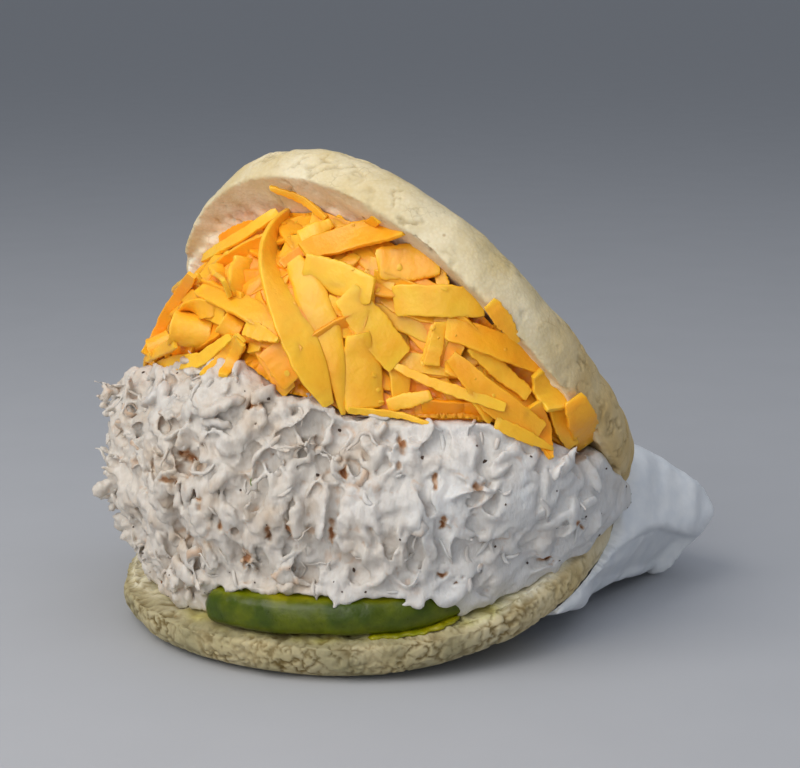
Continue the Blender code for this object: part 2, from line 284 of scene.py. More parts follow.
def strand(path, radii, flatness, first_normal, sides=6):
    """A thin closed strand of oval section along a path."""
    rings = []
    for point, radius, (_, normal, side) in zip(path, radii, carried_frames(path, first_normal)):
        ring = []
        for i in range(sides):
            turn = math.tau * i / sides
            ring.append(point + side * radius * math.cos(turn) + normal * radius * flatness * math.sin(turn))
        rings.append(ring)
    return lofted(rings)


def shade_round(obj, angle=None):
    obj.data.shade_smooth()
    if angle is not None:
        obj.data.set_sharp_from_angle(angle=math.radians(angle))


def place(obj, material, slot, *nodes):
    """Gives a finished piece its material, hangs it under the root, and hides the solids it stands for."""
    obj.data.materials.clear()
    obj.data.materials.append(material)
    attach(obj, "root")
    if nodes:
        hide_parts(*nodes)
    return obj


# ---- Materials ------------------------------------------------------------------------------------


def add(tree, kind, inputs=None, stops=None, **settings):
    """Adds a node with its settings. An input is a value, or another node's output to link from."""
    made = tree.nodes.new("ShaderNode" + kind)
    for name, value in settings.items():
        setattr(made, name, value)
    if stops:
        ramp = made.color_ramp
        while len(ramp.elements) < len(stops):
            ramp.elements.new(0.5)
        for element, (position, colour) in zip(ramp.elements, stops):
            element.position = position
            element.color = colour
    for name, value in (inputs or {}).items():
        if isinstance(value, bpy.types.NodeSocket):
            tree.links.new(value, made.inputs[name])
        else:
            made.inputs[name].default_value = value
    return made


def new_material(name):
    material = bpy.data.materials.new(name)
    material.use_nodes = True
    tree = material.node_tree
    tree.nodes.clear()
    return material, tree


def finish_material(tree, inputs):
    """The Principled shader that every food and the paper end in."""
    shader = add(tree, "BsdfPrincipled", inputs)
    add(tree, "OutputMaterial", {"Surface": shader.outputs[0]})
    return shader


def blended(tree, share, first, second, blend_type="MIX"):
    """Two colours mixed; each is a colour or another node's output."""
    node = add(
        tree, "Mix", {0: share, 6: first, 7: second}, data_type="RGBA", blend_type=blend_type, clamp_factor=True
    )
    return node.outputs[2]


GREY_UP = [(0.0, (0, 0, 0, 1)), (1.0, (1, 1, 1, 1))]


def between_levels(low, high):
    """Ramp stops that take `low` to black and `high` to white."""
    return [(low, (0, 0, 0, 1)), (high, (1, 1, 1, 1))]


def baked_corn_dough():
    """Precooked white maize dough, patted by hand and griddled: dry, matt and grainy, cream where the crust
    set, more yellow in the moist crumb, crazed with fine cracks, with a few toasted specks."""
    material, tree = new_material("corn_dough_griddled")
    place_on = add(tree, "TexCoord").outputs["Object"]
    inner = add(tree, "Attribute", attribute_name="crumb").outputs["Fac"]
    crack = add(tree, "Attribute", attribute_name="crack").outputs["Fac"]
    stain = add(tree, "Attribute", attribute_name="stain").outputs["Fac"]
    painted_low_shade = add(tree, "Attribute", attribute_name="painted_low_shade").outputs["Fac"]
    painted_hinge_shade = add(tree, "Attribute", attribute_name="painted_hinge_shade").outputs["Fac"]
    # Patches of dough 14 mm across, a little paler and yellower.
    patches = add(tree, "TexNoise", {"Vector": place_on, "Scale": 1 / 0.014, "Detail": 3.0})
    patch_share = add(tree, "ValToRGB", {"Fac": patches.outputs["Fac"]}, between_levels(0.3, 0.7))
    crust = blended(tree, patch_share.outputs["Color"], linear("#E0D5B8"), linear("#CEBA89"))
    crumb = blended(tree, patch_share.outputs["Color"], linear("#FFFBEA"), linear("#F8EFD0"))
    colour = blended(tree, inner, crust, crumb)
    # Meal grains 0.8 mm across, drawn twice as coarse as real so that they show.
    grains = add(tree, "TexVoronoi", {"Vector": place_on, "Scale": 1 / 0.0008, "Randomness": 1.0})
    grain_share = add(tree, "ValToRGB", {"Fac": grains.outputs["Distance"]}, between_levels(0.2, 0.8))
    grain_tint = blended(tree, grain_share.outputs["Color"], linear("#FFFFFF"), linear("#E9D9AE"))
    colour = blended(tree, 0.2, colour, grain_tint, "MULTIPLY")
    # Painted shade: darker, more yellow dough on the upper leaf towards the hinge.
    colour = blended(tree, painted_hinge_shade, colour, linear("#CDB077"))
    # Painted shade: darker, greyer dough on the lower leaf near the table.
    colour = blended(tree, painted_low_shade, colour, linear("#9C9471"))
    colour = blended(tree, stain, colour, linear("#B3AA32"))
    # The crust crazed as it dried: hair cracks between islands 5 mm across, in places only.
    bend = add(tree, "TexNoise", {"Vector": place_on, "Scale": 1 / 0.004, "Detail": 3.0})
    bent = add(tree, "VectorMath", {0: bend.outputs["Color"], "Scale": 0.004}, operation="SCALE")
    shifted = add(tree, "VectorMath", {0: place_on, 1: bent.outputs[0]}, operation="ADD")
    crazing = add(
        tree, "TexVoronoi", {"Vector": shifted.outputs[0], "Scale": 1 / 0.0052}, feature="DISTANCE_TO_EDGE"
    )
    line = add(tree, "ValToRGB", {"Fac": crazing.outputs["Distance"]}, [(0.0, (0.4, 0.4, 0.4, 1)), (0.03, (0, 0, 0, 1))])
    crazed = add(tree, "TexNoise", {"Vector": place_on, "Scale": 1 / 0.011, "Detail": 2.0})
    crazed_share = add(tree, "ValToRGB", {"Fac": crazed.outputs["Fac"]}, between_levels(0.52, 0.66))
    hair = add(
        tree, "Math", {0: line.outputs["Color"], 1: crazed_share.outputs["Color"]}, operation="MULTIPLY"
    )
    all_cracks = add(tree, "Math", {0: hair.outputs[0], 1: crack}, operation="MAXIMUM")
    colour = blended(tree, all_cracks.outputs[0], colour, linear("#A08F62"), "MULTIPLY")
    # Toasted specks: rare cells of 1.6 mm that the griddle caught.
    cells = add(tree, "TexVoronoi", {"Vector": place_on, "Scale": 1 / 0.0034, "Randomness": 1.0})
    rare = add(tree, "SeparateColor", {"Color": cells.outputs["Color"]})
    chosen = add(tree, "Math", {0: rare.outputs[0], 1: 0.965}, operation="GREATER_THAN")
    core = add(tree, "ValToRGB", {"Fac": cells.outputs["Distance"]}, [(0.08, (1, 1, 1, 1)), (0.2, (0, 0, 0, 1))])
    speck = add(tree, "Math", {0: chosen.outputs[0], 1: core.outputs["Color"]}, operation="MULTIPLY")
    colour = blended(tree, speck.outputs[0], colour, linear("#9A7440"))
    # Relief finer than the mesh: pores 0.5 mm across over the grain, and the hair cracks.
    pores = add(tree, "TexNoise", {"Vector": place_on, "Scale": 1 / 0.0011, "Detail": 6.0, "Roughness": 0.65})
    grainy = add(tree, "Math", {0: pores.outputs["Fac"], 1: grains.outputs["Distance"]}, operation="ADD")
    relief = add(tree, "Math", {0: grainy.outputs[0], 1: hair.outputs[0]}, operation="SUBTRACT")
    bump = add(tree, "Bump", {"Strength": 0.2, "Distance": 0.0004, "Height": relief.outputs[0]})
    roughness = add(tree, "MapRange", {"Value": patches.outputs["Fac"], "To Min": 0.68, "To Max": 0.88})
    finish_material(
        tree,
        {
            "Base Color": colour,
            "Roughness": roughness.outputs["Result"],
            "IOR": 1.45,
            "Subsurface Weight": 0.12,
            "Subsurface Radius": (0.003, 0.0022, 0.0012),
            "Subsurface Scale": 1.0,
            "Normal": bump.outputs["Normal"],
        },
    )
    return material


def dressed_chicken():
    """Poached breast pulled into shreds and folded with mayonnaise: moist and pale, whiter where the dressing lies
    thick, tan to pink where the bare fibres show, and tan to brown in the hollows and openings, partly bare meat and
    partly painted shade."""
    material, tree = new_material("poached_chicken_in_mayonnaise")
    place_on = add(tree, "TexCoord").outputs["Object"]
    hollow = add(tree, "Attribute", attribute_name="hollow").outputs["Fac"]
    dressing = add(tree, "Attribute", attribute_name="dressing").outputs["Fac"]
    # Bare meat shows in patches 7 mm across.
    meat = add(tree, "TexNoise", {"Vector": place_on, "Scale": 1 / 0.007, "Detail": 3.0})
    meat_share = add(tree, "ValToRGB", {"Fac": meat.outputs["Fac"]}, between_levels(0.5, 0.72))
    bare = blended(tree, meat_share.outputs["Color"], linear("#D6D2CC"), linear("#CDBFAE"))
    colour = blended(tree, dressing, bare, linear("#DADDE0"))
    # Painted shade, over the tan of bare meat: tan, then brown, deeper into the hollows and openings.
    tan_share = add(tree, "ValToRGB", {"Fac": hollow}, between_levels(0.15, 0.85))
    colour = blended(tree, tan_share.outputs["Color"], colour, linear("#C8A078"))
    brown_share = add(tree, "ValToRGB", {"Fac": hollow}, between_levels(0.6, 1.0))
    colour = blended(tree, brown_share.outputs["Color"], colour, linear("#96623C"))
    # Muscle fibres 0.35 mm across, drawn out in one direction.
    stretched = add(tree, "Mapping", {"Vector": place_on, "Rotation": (0.5, 0.9, 0.4), "Scale": (1.0, 1.0, 0.4)})
    fibres = add(
        tree, "TexNoise", {"Vector": stretched.outputs[0], "Scale": 1 / 0.0007, "Detail": 5.0, "Roughness": 0.6}
    )
    fibre_share = add(tree, "ValToRGB", {"Fac": fibres.outputs["Fac"]}, between_levels(0.42, 0.7))
    fibre_tint = blended(tree, fibre_share.outputs["Color"], linear("#FFFFFF"), linear("#E6DDD2"))
    colour = blended(tree, 0.3, colour, fibre_tint, "MULTIPLY")
    # Torn edges of meat, in creases 2.5 mm apart with finer ones between.
    torn = add(
        tree,
        "TexNoise",
        {"Vector": stretched.outputs[0], "Scale": 1 / 0.0032, "Detail": 6.0, "Roughness": 0.55},
        noise_type="RIDGED_MULTIFRACTAL",
    )
    torn_share = add(tree, "ValToRGB", {"Fac": torn.outputs["Fac"]}, between_levels(0.1, 0.9))
    torn_tint = blended(tree, torn_share.outputs["Color"], linear("#E2D6CA"), linear("#FFFFFF"))
    colour = blended(tree, 0.4, colour, torn_tint, "MULTIPLY")
    relief = add(tree, "Math", {0: torn.outputs["Fac"], 1: fibres.outputs["Fac"]}, operation="ADD")
    bump = add(tree, "Bump", {"Strength": 0.4, "Distance": 0.0006, "Height": relief.outputs[0]})
    roughness = add(tree, "MapRange", {"Value": meat.outputs["Fac"], "To Min": 0.3, "To Max": 0.48})
    finish_material(
        tree,
        {
            "Base Color": colour,
            "Roughness": roughness.outputs["Result"],
            "IOR": 1.42,
            "Subsurface Weight": 0.15,
            "Subsurface Radius": (0.003, 0.0022, 0.0016),
            "Subsurface Scale": 1.0,
            "Normal": bump.outputs["Normal"],
        },
    )
    return material


def shredded_cheddar():
    """Pressed cheddar coloured with annatto and grated coarse: satin and close-grained, each strip a little lighter or
    deeper than the next, partly at random and partly as painted shade low in the heap, with faint lines where the
    grater dragged."""
    material, tree = new_material("cheddar_shredded")
    place_on = add(tree, "TexCoord").outputs["Object"]
    tone = add(tree, "Attribute", attribute_name="tone").outputs["Fac"]
    colour = blended(tree, tone, linear("#FFC436"), linear("#FF9A0C"))
    # Clouding in the curd, 5 mm across.
    clouds = add(tree, "TexNoise", {"Vector": place_on, "Scale": 1 / 0.005, "Detail": 3.0})
    cloud_share = add(tree, "ValToRGB", {"Fac": clouds.outputs["Fac"]}, between_levels(0.4, 0.75))
    cloud_tint = blended(tree, cloud_share.outputs["Color"], linear("#FFFFFF"), linear("#FBEBC8"))
    colour = blended(tree, 1.0, colour, cloud_tint, "MULTIPLY")
    # Drag marks and curd grain 0.6 mm apart.
    drag = add(tree, "TexNoise", {"Vector": place_on, "Scale": 1 / 0.0013, "Detail": 5.0, "Roughness": 0.6})
    wavy = add(
        tree, "Math", {0: clouds.outputs["Fac"], 1: 4.0, 2: drag.outputs["Fac"]}, operation="MULTIPLY_ADD"
    )
    bump = add(tree, "Bump", {"Strength": 0.35, "Distance": 0.0003, "Height": wavy.outputs[0]})
    roughness = add(tree, "MapRange", {"Value": clouds.outputs["Fac"], "To Min": 0.26, "To Max": 0.4})
    finish_material(
        tree,
        {
            "Base Color": colour,
            "Roughness": roughness.outputs["Result"],
            "IOR": 1.44,
            "Subsurface Weight": 0.3,
            "Subsurface Radius": (0.004, 0.0026, 0.0008),
            "Subsurface Scale": 1.0,
            "Normal": bump.outputs["Normal"],
        },
    )
    return material


def peeled_avocado(name, skin_side, flesh):
    """Ripe avocado peeled and sliced: wet and smooth, deep green where the skin was, paling inward."""
    material, tree = new_material(name)
    place_on = add(tree, "TexCoord").outputs["Object"]
    depth = add(tree, "Attribute", attribute_name="flesh").outputs["Fac"]
    colour = blended(tree, depth, linear(skin_side), linear(flesh))
    # Bruised and paler flecks 1.5 mm across.
    flecks = add(tree, "TexNoise", {"Vector": place_on, "Scale": 1 / 0.0022, "Detail": 4.0, "Roughness": 0.6})
    fleck_share = add(tree, "ValToRGB", {"Fac": flecks.outputs["Fac"]}, between_levels(0.35, 0.7))
    fleck_tint = blended(tree, fleck_share.outputs["Color"], linear("#C9CE90"), linear("#FFFFFF"))
    colour = blended(tree, 0.8, colour, fleck_tint, "MULTIPLY")
    # Darker green where the skin came away thin, in patches 9 mm across.
    thin = add(tree, "TexNoise", {"Vector": place_on, "Scale": 1 / 0.009, "Detail": 2.0})
    thin_share = add(tree, "ValToRGB", {"Fac": thin.outputs["Fac"]}, between_levels(0.42, 0.6))
    thin_tint = blended(tree, thin_share.outputs["Color"], linear("#FFFFFF"), linear("#B0C890"))
    colour = blended(tree, 1.0, colour, thin_tint, "MULTIPLY")
    bump = add(tree, "Bump", {"Strength": 0.5, "Distance": 0.0004, "Height": flecks.outputs["Fac"]})
    roughness = add(tree, "MapRange", {"Value": flecks.outputs["Fac"], "To Min": 0.2, "To Max": 0.42})
    finish_material(
        tree,
        {
            "Base Color": colour,
            "Roughness": roughness.outputs["Result"],
            "IOR": 1.38,
            "Subsurface Weight": 0.15,
            "Subsurface Radius": (0.002, 0.003, 0.0008),
            "Subsurface Scale": 1.0,
                        "Normal": bump.outputs["Normal"],
        },
    )
    return material


def greaseproof_paper():
    """Bleached greaseproof paper, calendered smooth and then crushed: thin, cool white and faintly glassy,
    with fine creases where it was gripped."""
    material, tree = new_material("greaseproof_paper_crushed")
    place_on = add(tree, "TexCoord").outputs["Object"]
    # Pulp clouding 4 mm across.
    pulp = add(tree, "TexNoise", {"Vector": place_on, "Scale": 1 / 0.004, "Detail": 5.0})
    pulp_share = add(tree, "ValToRGB", {"Fac": pulp.outputs["Fac"]}, between_levels(0.35, 0.7))
    colour = blended(tree, pulp_share.outputs["Color"], linear("#E9ECEF"), linear("#DDE2E8"))
    # Hand creases, wandering and soft, about 9 mm apart.
    creases = add(
        tree,
        "TexNoise",
        {"Vector": place_on, "Scale": 1 / 0.018, "Detail": 2.0, "Roughness": 0.4},
        noise_type="RIDGED_MULTIFRACTAL",
    )
    ridge = add(tree, "ValToRGB", {"Fac": creases.outputs["Fac"]}, between_levels(0.2, 1.0))
    relief = add(tree, "Math", {0: ridge.outputs["Color"], 1: pulp.outputs["Fac"]}, operation="ADD")
    bump = add(tree, "Bump", {"Strength": 0.25, "Distance": 0.0006, "Height": relief.outputs[0]})
    roughness = add(tree, "MapRange", {"Value": pulp.outputs["Fac"], "To Min": 0.34, "To Max": 0.5})
    finish_material(
        tree,
        {
            "Base Color": colour,
            "Roughness": roughness.outputs["Result"],
            "IOR": 1.5,
            "Subsurface Weight": 0.1,
            "Subsurface Radius": (0.001, 0.001, 0.001),
            "Subsurface Scale": 1.0,
            "Normal": bump.outputs["Normal"],
        },
    )
    return material


def ground_seasoning(name, light, dark):
    """Cracked pepper or dried herb: small matt flakes of uneven colour."""
    material, tree = new_material(name)
    place_on = add(tree, "TexCoord").outputs["Object"]
    mottle = add(tree, "TexNoise", {"Vector": place_on, "Scale": 1 / 0.0006, "Detail": 3.0})
    colour = blended(tree, mottle.outputs["Fac"], linear(light), linear(dark))
    finish_material(tree, {"Base Color": colour, "Roughness": 0.7, "IOR": 1.45})
    return material


def matt_board():
    """The studio table: pale matt board with the faintest tooth."""
    material, tree = new_material("studio_board")
    place_on = add(tree, "TexCoord").outputs["Object"]
    tooth = add(tree, "TexNoise", {"Vector": place_on, "Scale": 1 / 0.03, "Detail": 4.0})
    colour = blended(tree, tooth.outputs["Fac"], linear("#ACAEB3"), linear("#B1B3B8"))
    finish_material(tree, {"Base Color": colour, "Roughness": 0.75, "IOR": 1.45})
    return material


# ---- The corn cake --------------------------------------------------------------------------------


def crack_depth(points, cell, width, seed):
    """0 to 1 at each point: 1 along the lines between irregular cells of that size."""
    found = np.zeros(len(points))
    for i, p in enumerate(points):
        at = Vector(p)
        warp = noise.noise_vector(at / (cell * 0.6) + Vector((seed, 0, 0))) * cell * 0.4
        distances, _ = noise.voronoi((at + warp) / cell)
        gap = (distances[1] - distances[0]) * cell
        found[i] = math.exp(-((gap / width) ** 2))
    return found


def corn_cake():
    """The cake's own solid, softened, then given the lumps, cracks and pores of griddled dough."""
    obj = solid_copy("corn_cake", "corn_cake_baked")
    with_modifier(obj, "REMESH", mode="VOXEL", voxel_size=0.55 * MM)
    points = spread_evenly(points_of(obj), edges_of(obj), 6)
    move_points(obj, points)
    filling = tree_of("chicken_salad", "shredded_cheese", "avocado_front", "avocado_back")
    limit_hidden(obj, filling, 194000)
    edges = edges_of(obj)
    points = points_of(obj)
    normals = normals_of(obj)
    solids = tree_of("corn_cake", "chicken_salad", "shredded_cheese", "avocado_front", "avocado_back")
    own = tree_of("corn_cake")
    facing_in = np.zeros(len(points))
    for i, p in enumerate(points):
        nearest, normal, _, _ = own.find_nearest(Vector(p))
        if solids.ray_cast(nearest + normal * 0.1 * MM, normal)[0] is not None:
            facing_in[i] = 1
    facing_in = spread_evenly(facing_in, edges, 4)
    # The split edge is soft, and rounds over into the crumb.
    at_edge = spread_evenly(facing_in, edges, 10)
    at_edge = np.minimum(1, 5 * at_edge * (1 - at_edge))
    points += (spread_evenly(points, edges, 60) - points) * at_edge[:, None]
    move_points(obj, points)
    normals = normals_of(obj)
    rough_places = ramp_array(-0.3, 0.25, noise_at(points, 17 * MM, 4))
    cracks = crack_depth(points, 5.5 * MM, 0.4 * MM, 11) * rough_places
    cracks *= ramp_array(-0.15, 0.25, noise_at(points, 4 * MM, 9))
    lift = 0.55 * noise_at(points, 13 * MM, 1) + 0.34 * noise_at(points, 5 * MM, 2)
    lift += 0.08 * noise_at(points, 2.4 * MM, 3) + 0.02 * noise_at(points, 1.3 * MM, 5)
    # The crumb tore where the cake was split, so it hangs in small rags inside.
    lift += 0.8 * facing_in * (noise_at(points, 3.5 * MM, 10) + 0.6 * noise_at(points, 1.8 * MM, 13))
    # Small pits where meal broke out of the crust.
    pits = ramp_array(0.42, 0.66, noise_at(points, 2.1 * MM, 8))
    # The damp lower leaf crazed all over into lumps 3 mm across.
    low_rim = ramp_array(24 * MM, 10 * MM, points[:, 2])
    crazed = crack_depth(points, 3.2 * MM, 0.36 * MM, 23) * low_rim * (0.75 + 0.9 * noise_at(points, 7 * MM, 24))
    crazed = np.clip(crazed, 0, 1)
    lift -= 0.6 * cracks + 0.25 * pits + 0.45 * crazed
    # The part of the crust that stands on the table stays level.
    resting = ramp_array(2.5 * MM, 0.2 * MM, points[:, 2])
    lift = lift * (1 - resting)
    points += normals * (lift * MM)[:, None]
    points[:, 2] = np.maximum(points[:, 2], 0)
    move_points(obj, points)
    paint(obj, "crumb", facing_in)
    paint(obj, "crack", np.maximum(np.maximum(cracks * 0.5, pits * 0.15), crazed))
    avocado = tree_of("avocado_front", "avocado_back")
    away = np.array([avocado.find_nearest(Vector(p))[3] for p in points])
    patchy = 0.6 + 0.6 * noise_at(points, 4 * MM, 7)
    paint(obj, "stain", ramp_array(12 * MM, 2 * MM, away) * facing_in * patchy * 1.1)
    # Painted shade: the lower leaf's dough is drawn darker and greyer near the table and towards its left end, less at
    # its cut face, for the shade that falls there.
    lower = ramp_array(26 * MM, 12 * MM, points[:, 2]) * ramp_array(20 * MM, -15 * MM, points[:, 0] - LEAF_MIDDLE.x)
    paint(obj, "painted_low_shade", lower * (0.85 + 0.5 * noise_at(points, 8 * MM, 6)) * (1 - 0.45 * facing_in))
    # Painted shade: the upper leaf is drawn darker and more yellow towards the hinge and high on the cake, where its
    # rim turns away from the light.
    over = (points - np.array(LEAF_MIDDLE)) @ np.array(OVER)
    hinge_shading = ramp_array(33 * MM, 52 * MM, over) * ramp_array(18 * MM, 32 * MM, points[:, 2])
    paint(obj, "painted_hinge_shade", hinge_shading * (0.8 + 0.5 * noise_at(points, 7 * MM, 25)))
    shade_round(obj)
    return place(obj, baked_corn_dough(), "corn_cake", "corn_cake")


def limit_triangles(obj, most):
    count = sum(len(p.vertices) - 2 for p in obj.data.polygons)
    if count > most:
        with_modifier(obj, "DECIMATE", ratio=most / count)
    return obj


# ---- The chicken salad ----------------------------------------------------------------------------

# Where clumps stand out of the heap: millimetres over and up, how far they stand out, and the way they point,
# in degrees from the right.
TUFTS = ((-56, 47, 6.0, 172), (-54, 34, 3.5, 165), (-55, 28, 4.5, 190), (-52, 17, 2.0, 200), (-41, 8, 3.0, 265), (41, 35, 4.0, 85))
# Openings between the clumps, painted tan to brown inside, partly as bare meat and partly as painted shade: millimetres
# over and up, their width and height, and how far they lean, in degrees.
OPENINGS = (
    (-21.4, 45.9, 2.8, 1.5, 10),
    (-17.4, 35.9, 0.8, 1.3, 20),
    (-35.6, 35.3, 3.4, 2.2, -35),
    (-39.6, 30.1, 3.8, 1.4, -12),
    (-33.4, 26.4, 1.5, 3.0, 15),
    (-18.5, 19.1, 1.3, 3.8, 8),
    (-14.3, 21.0, 1.0, 3.8, 18),
    (-23.4, 14.0, 1.5, 3.8, -14),
    (-5.4, 19.8, 1.0, 3.6, 0),
    (-2.8, 32.2, 2.0, 2.4, 30),
    (-28.8, 21.2, 0.9, 2.2, 0),
    (8.8, 38.2, 1.3, 2.6, 15),
    (8.2, 33.6, 1.0, 2.6, 0),
    (15.8, 30.5, 1.1, 3.2, 4),
    (24.3, 29.3, 3.2, 1.2, 8),
    (17.3, 22.0, 1.6, 2.0, 20),
    (16.7, 11.2, 2.8, 1.6, -25),
    (20.4, 9.4, 2.0, 2.0, 20),
    (39.4, 13.4, 3.2, 1.6, -35),
    (55.0, 17.0, 2.0, 2.8, 20),
    (46.6, 20.5, 1.0, 3.0, 35),
)
# The heap is clumps of these sizes in millimetres, each standing out this far past the clefts round it.
CLUMPS = ((13.0, 2.2, 3.0), (6.0, 0.6, 17.0))


def shred_path(rng, tree, spot, normal, heading, length, lift, free_end):
    """The centre line of one shred: it follows the heap, dips in at its ends, or has one end standing free."""
    steps = 9
    side = normal.cross(heading)
    bend = rng.uniform(-0.3, 0.3) * length
    path = []
    for k in range(steps):
        s = k / (steps - 1)
        flat = spot + heading * (s - 0.5) * length + side * bend * (2 * s - 1) ** 2
        on_heap, out, _, _ = tree.find_nearest(flat)
        if out.dot(normal) < 0:
            out = normal
        height = lift * math.sin(math.pi * s) - 1.0 * MM * abs(2 * s - 1) ** 3
        if free_end and s > 0.5:
            height = lift + free_end * (2 * s - 1) ** 1.6
        path.append(on_heap.lerp(flat, 0.35) + out * height)
    return path


def taper(rng, steps, thickness, ends):
    """Radii along a shred: full in the middle, thin at the ends, a little uneven."""
    radii = []
    for k in range(steps):
        s = k / (steps - 1)
        full = mix(ends, 1.0, math.sin(math.pi * s) ** 0.6)
        radii.append(thickness * full * rng.uniform(0.88, 1.12))
    return radii


def flake(rng, path, width, thickness, first_normal):
    """A flat pulled flake of breast, drawn to a point at its ends and ridged along its fibres."""
    sides = 14
    ridges = [rng.uniform(0.55, 1.0) for _ in range(sides)]
    halves = taper(rng, len(path), width / 2, 0.15)
    rings = []
    for point, half, (_, normal, side) in zip(path, halves, carried_frames(path, first_normal)):
        thick = thickness / 2 * (0.4 + 0.6 * half / (width / 2))
        ring = []
        for i, ridge in enumerate(ridges):
            turn = math.tau * i / sides
            ring.append(point + side * half * math.cos(turn) + normal * thick * ridge * math.sin(turn))
        rings.append(ring)
    return lofted(rings)


def along_surface(rng, normal, rise_share=1.0):
    """A random direction that lies in the surface."""
    heading = Vector((rng.gauss(0, 1), rng.gauss(0, 1), rng.gauss(0, rise_share)))
    return (heading - normal * heading.dot(normal)).normalized()


def pulled_way(rng, normal, spot):
    """Fibres lie any way on the upper heap and hang nearly upright low on its left."""
    heading = along_surface(rng, normal)
    away = spot - LEAF_MIDDLE
    hang = smoothstep(38 * MM, 24 * MM, away.dot(RISE)) * smoothstep(28 * MM, 5 * MM, away.dot(OVER))
    hang *= smoothstep(6 * MM, 15 * MM, away.dot(RISE))
    heading = heading.lerp(RISE * math.copysign(1, heading.dot(RISE)), 0.85 * hang)
    return (heading - normal * heading.dot(normal)).normalized()


def clear_of_hinge(spots):
    """Leaves out the places at the right end, where the leaves close on the heap."""
    return [(spot, normal) for spot, normal in spots if (spot - LEAF_MIDDLE).dot(OVER) < 50 * MM]


def looseness(spot):
    """How freely the meat stands off the heap: 1 on its left, little on the right, where dressing binds it."""
    return mix(1.0, 0.15, smoothstep(5 * MM, 42 * MM, (spot - LEAF_MIDDLE).dot(OVER)))


def lay_flakes(rng, pile, heap, spots):
    for spot, normal in spots:
        heading = pulled_way(rng, normal, spot)
        # One edge of a flake stands a little proud of the other.
        facing = Matrix.Rotation(rng.gauss(0, 0.45), 3, heading) @ normal
        length = rng.uniform(5, 12) * MM
        loose = looseness(spot)
        free_end = loose * rng.uniform(0.5, 1.6) * MM if rng.random() < 0.12 else 0.0
        lift = mix(-0.6, rng.uniform(-0.9, 0.9), loose) * MM
        path = shred_path(rng, heap, spot, normal, heading, length, lift, free_end)
        pile.add(*flake(rng, path, rng.uniform(1.8, 4.6) * MM, rng.uniform(1.1, 2.1) * MM, facing), 0.0)


def lay_shreds(rng, pile, heap, spots):
    """Bundles of two to five round shreds that were one piece of muscle."""
    for spot, normal in spots:
        heading = pulled_way(rng, normal, spot)
        side = normal.cross(heading)
        loose = looseness(spot)
        base_lift = mix(-0.8, rng.uniform(-0.9, 0.6), loose) * MM
        for _ in range(rng.choice((2, 3, 3, 4, 5))):
            turned = (heading + side * rng.gauss(0, 0.15)).normalized()
            start = spot + side * rng.gauss(0, 1.0) * MM + heading * rng.gauss(0, 1.2) * MM
            length = rng.uniform(5, 12) * MM
            lift = base_lift + rng.uniform(-0.3, 0.4) * loose * MM
            free_end = loose * rng.uniform(0.5, 1.8) * MM if rng.random() < 0.1 else 0.0
            path = shred_path(rng, heap, start, normal, turned, length, lift, free_end)
            radii = taper(rng, len(path), rng.uniform(0.45, 0.95) * MM, 0.5)
            pile.add(*strand(path, radii, rng.uniform(0.6, 0.95), normal), 0.0)


def lay_tufts(rng, pile, heap):
    """Clumps of flakes that stand out of the heap."""
    for over, rise, stands_out, way in TUFTS:
        corner = LEAF_MIDDLE + OVER * over * MM + RISE * rise * MM
        root = heap.ray_cast(corner + SIGHT * DROP_LENGTH, -SIGHT, 2 * DROP_LENGTH)[0]
        if root is None:
            root = heap.find_nearest(corner)[0]
        out = OVER * math.cos(math.radians(way)) + RISE * math.sin(math.radians(way))
        for _ in range(14):
            heading = (out + Vector((rng.gauss(0, 0.35), rng.gauss(0, 0.35), rng.gauss(0, 0.4)))).normalized()
            start = root + Vector((rng.gauss(0, 1.5), rng.gauss(0, 1.5), rng.gauss(0, 1.7))) * MM - out * 2.5 * MM
            length = (2.5 + stands_out * rng.uniform(0.4, 1.05)) * MM
            droop = Vector((0, 0, -1)) * rng.uniform(0, 1.0) * MM
            path = [start + heading * length * k / 6 + droop * (k / 6) ** 2 for k in range(7)]
            facing = along_surface(rng, heading)
            pile.add(*flake(rng, path, rng.uniform(1.6, 3.2) * MM, rng.uniform(1.0, 1.8) * MM, facing), 0.0)


def chicken_salad():
    rng = random.Random(41)
    around = tree_of("corn_cake", "shredded_cheese", "paper_wrap", "avocado_front")
    heap = tree_of("chicken_salad")
    pile = Pile()
    flake_spots = shown_spots(rng, "chicken_salad", around, 360, apart=2.9 * MM)
    lay_flakes(rng, pile, heap, clear_of_hinge(flake_spots))
    shred_spots = shown_spots(rng, "chicken_salad", around, 220, apart=3.2 * MM)
    lay_shreds(rng, pile, heap, clear_of_hinge(shred_spots))
    lay_tufts(rng, pile, heap)
    body = solid_copy("chicken_salad", "chicken_core")
    with_modifier(body, "REMESH", mode="VOXEL", voxel_size=1.3 * MM)
    shrink_shown(body, around, 1.3 * MM)
    shreds = pile.finished("chicken_salad_heap")
    joined = bmesh.new()
    joined.from_mesh(shreds.data)
    joined.from_mesh(body.data)
    joined.to_mesh(shreds.data)
    joined.free()
    bpy.data.objects.remove(body)
    with_modifier(shreds, "REMESH", mode="VOXEL", voxel_size=0.43 * MM)
    clefts = clump(shreds, around)
    coat_with_dressing(shreds)
    opened = open_up(shreds, heap, clefts)
    mark_hollows(shreds, opened, clefts)
    limit_hidden(shreds, around, 190000)
    shade_round(shreds)
    return place(shreds, dressed_chicken(), "chicken_salad", "chicken_salad")


def swellings(points, size, seed):
    """Rounded swellings of about that size, 0 in the clefts between them to 1 on top."""
    found = np.empty(len(points))
    offset = Vector((seed, 0, 0))
    for i, p in enumerate(points):
        at = Vector(p) / size + offset
        at += 0.8 * noise.noise_vector(at * 0.9) + 0.2 * noise.noise_vector(at * 3)
        # Clumps hang, so they are taller than they are wide.
        found[i] = abs(noise.noise(Vector((at.x, at.y, 0.6 * at.z))))
    return np.minimum(found * 2.4, 1.0) ** 0.65


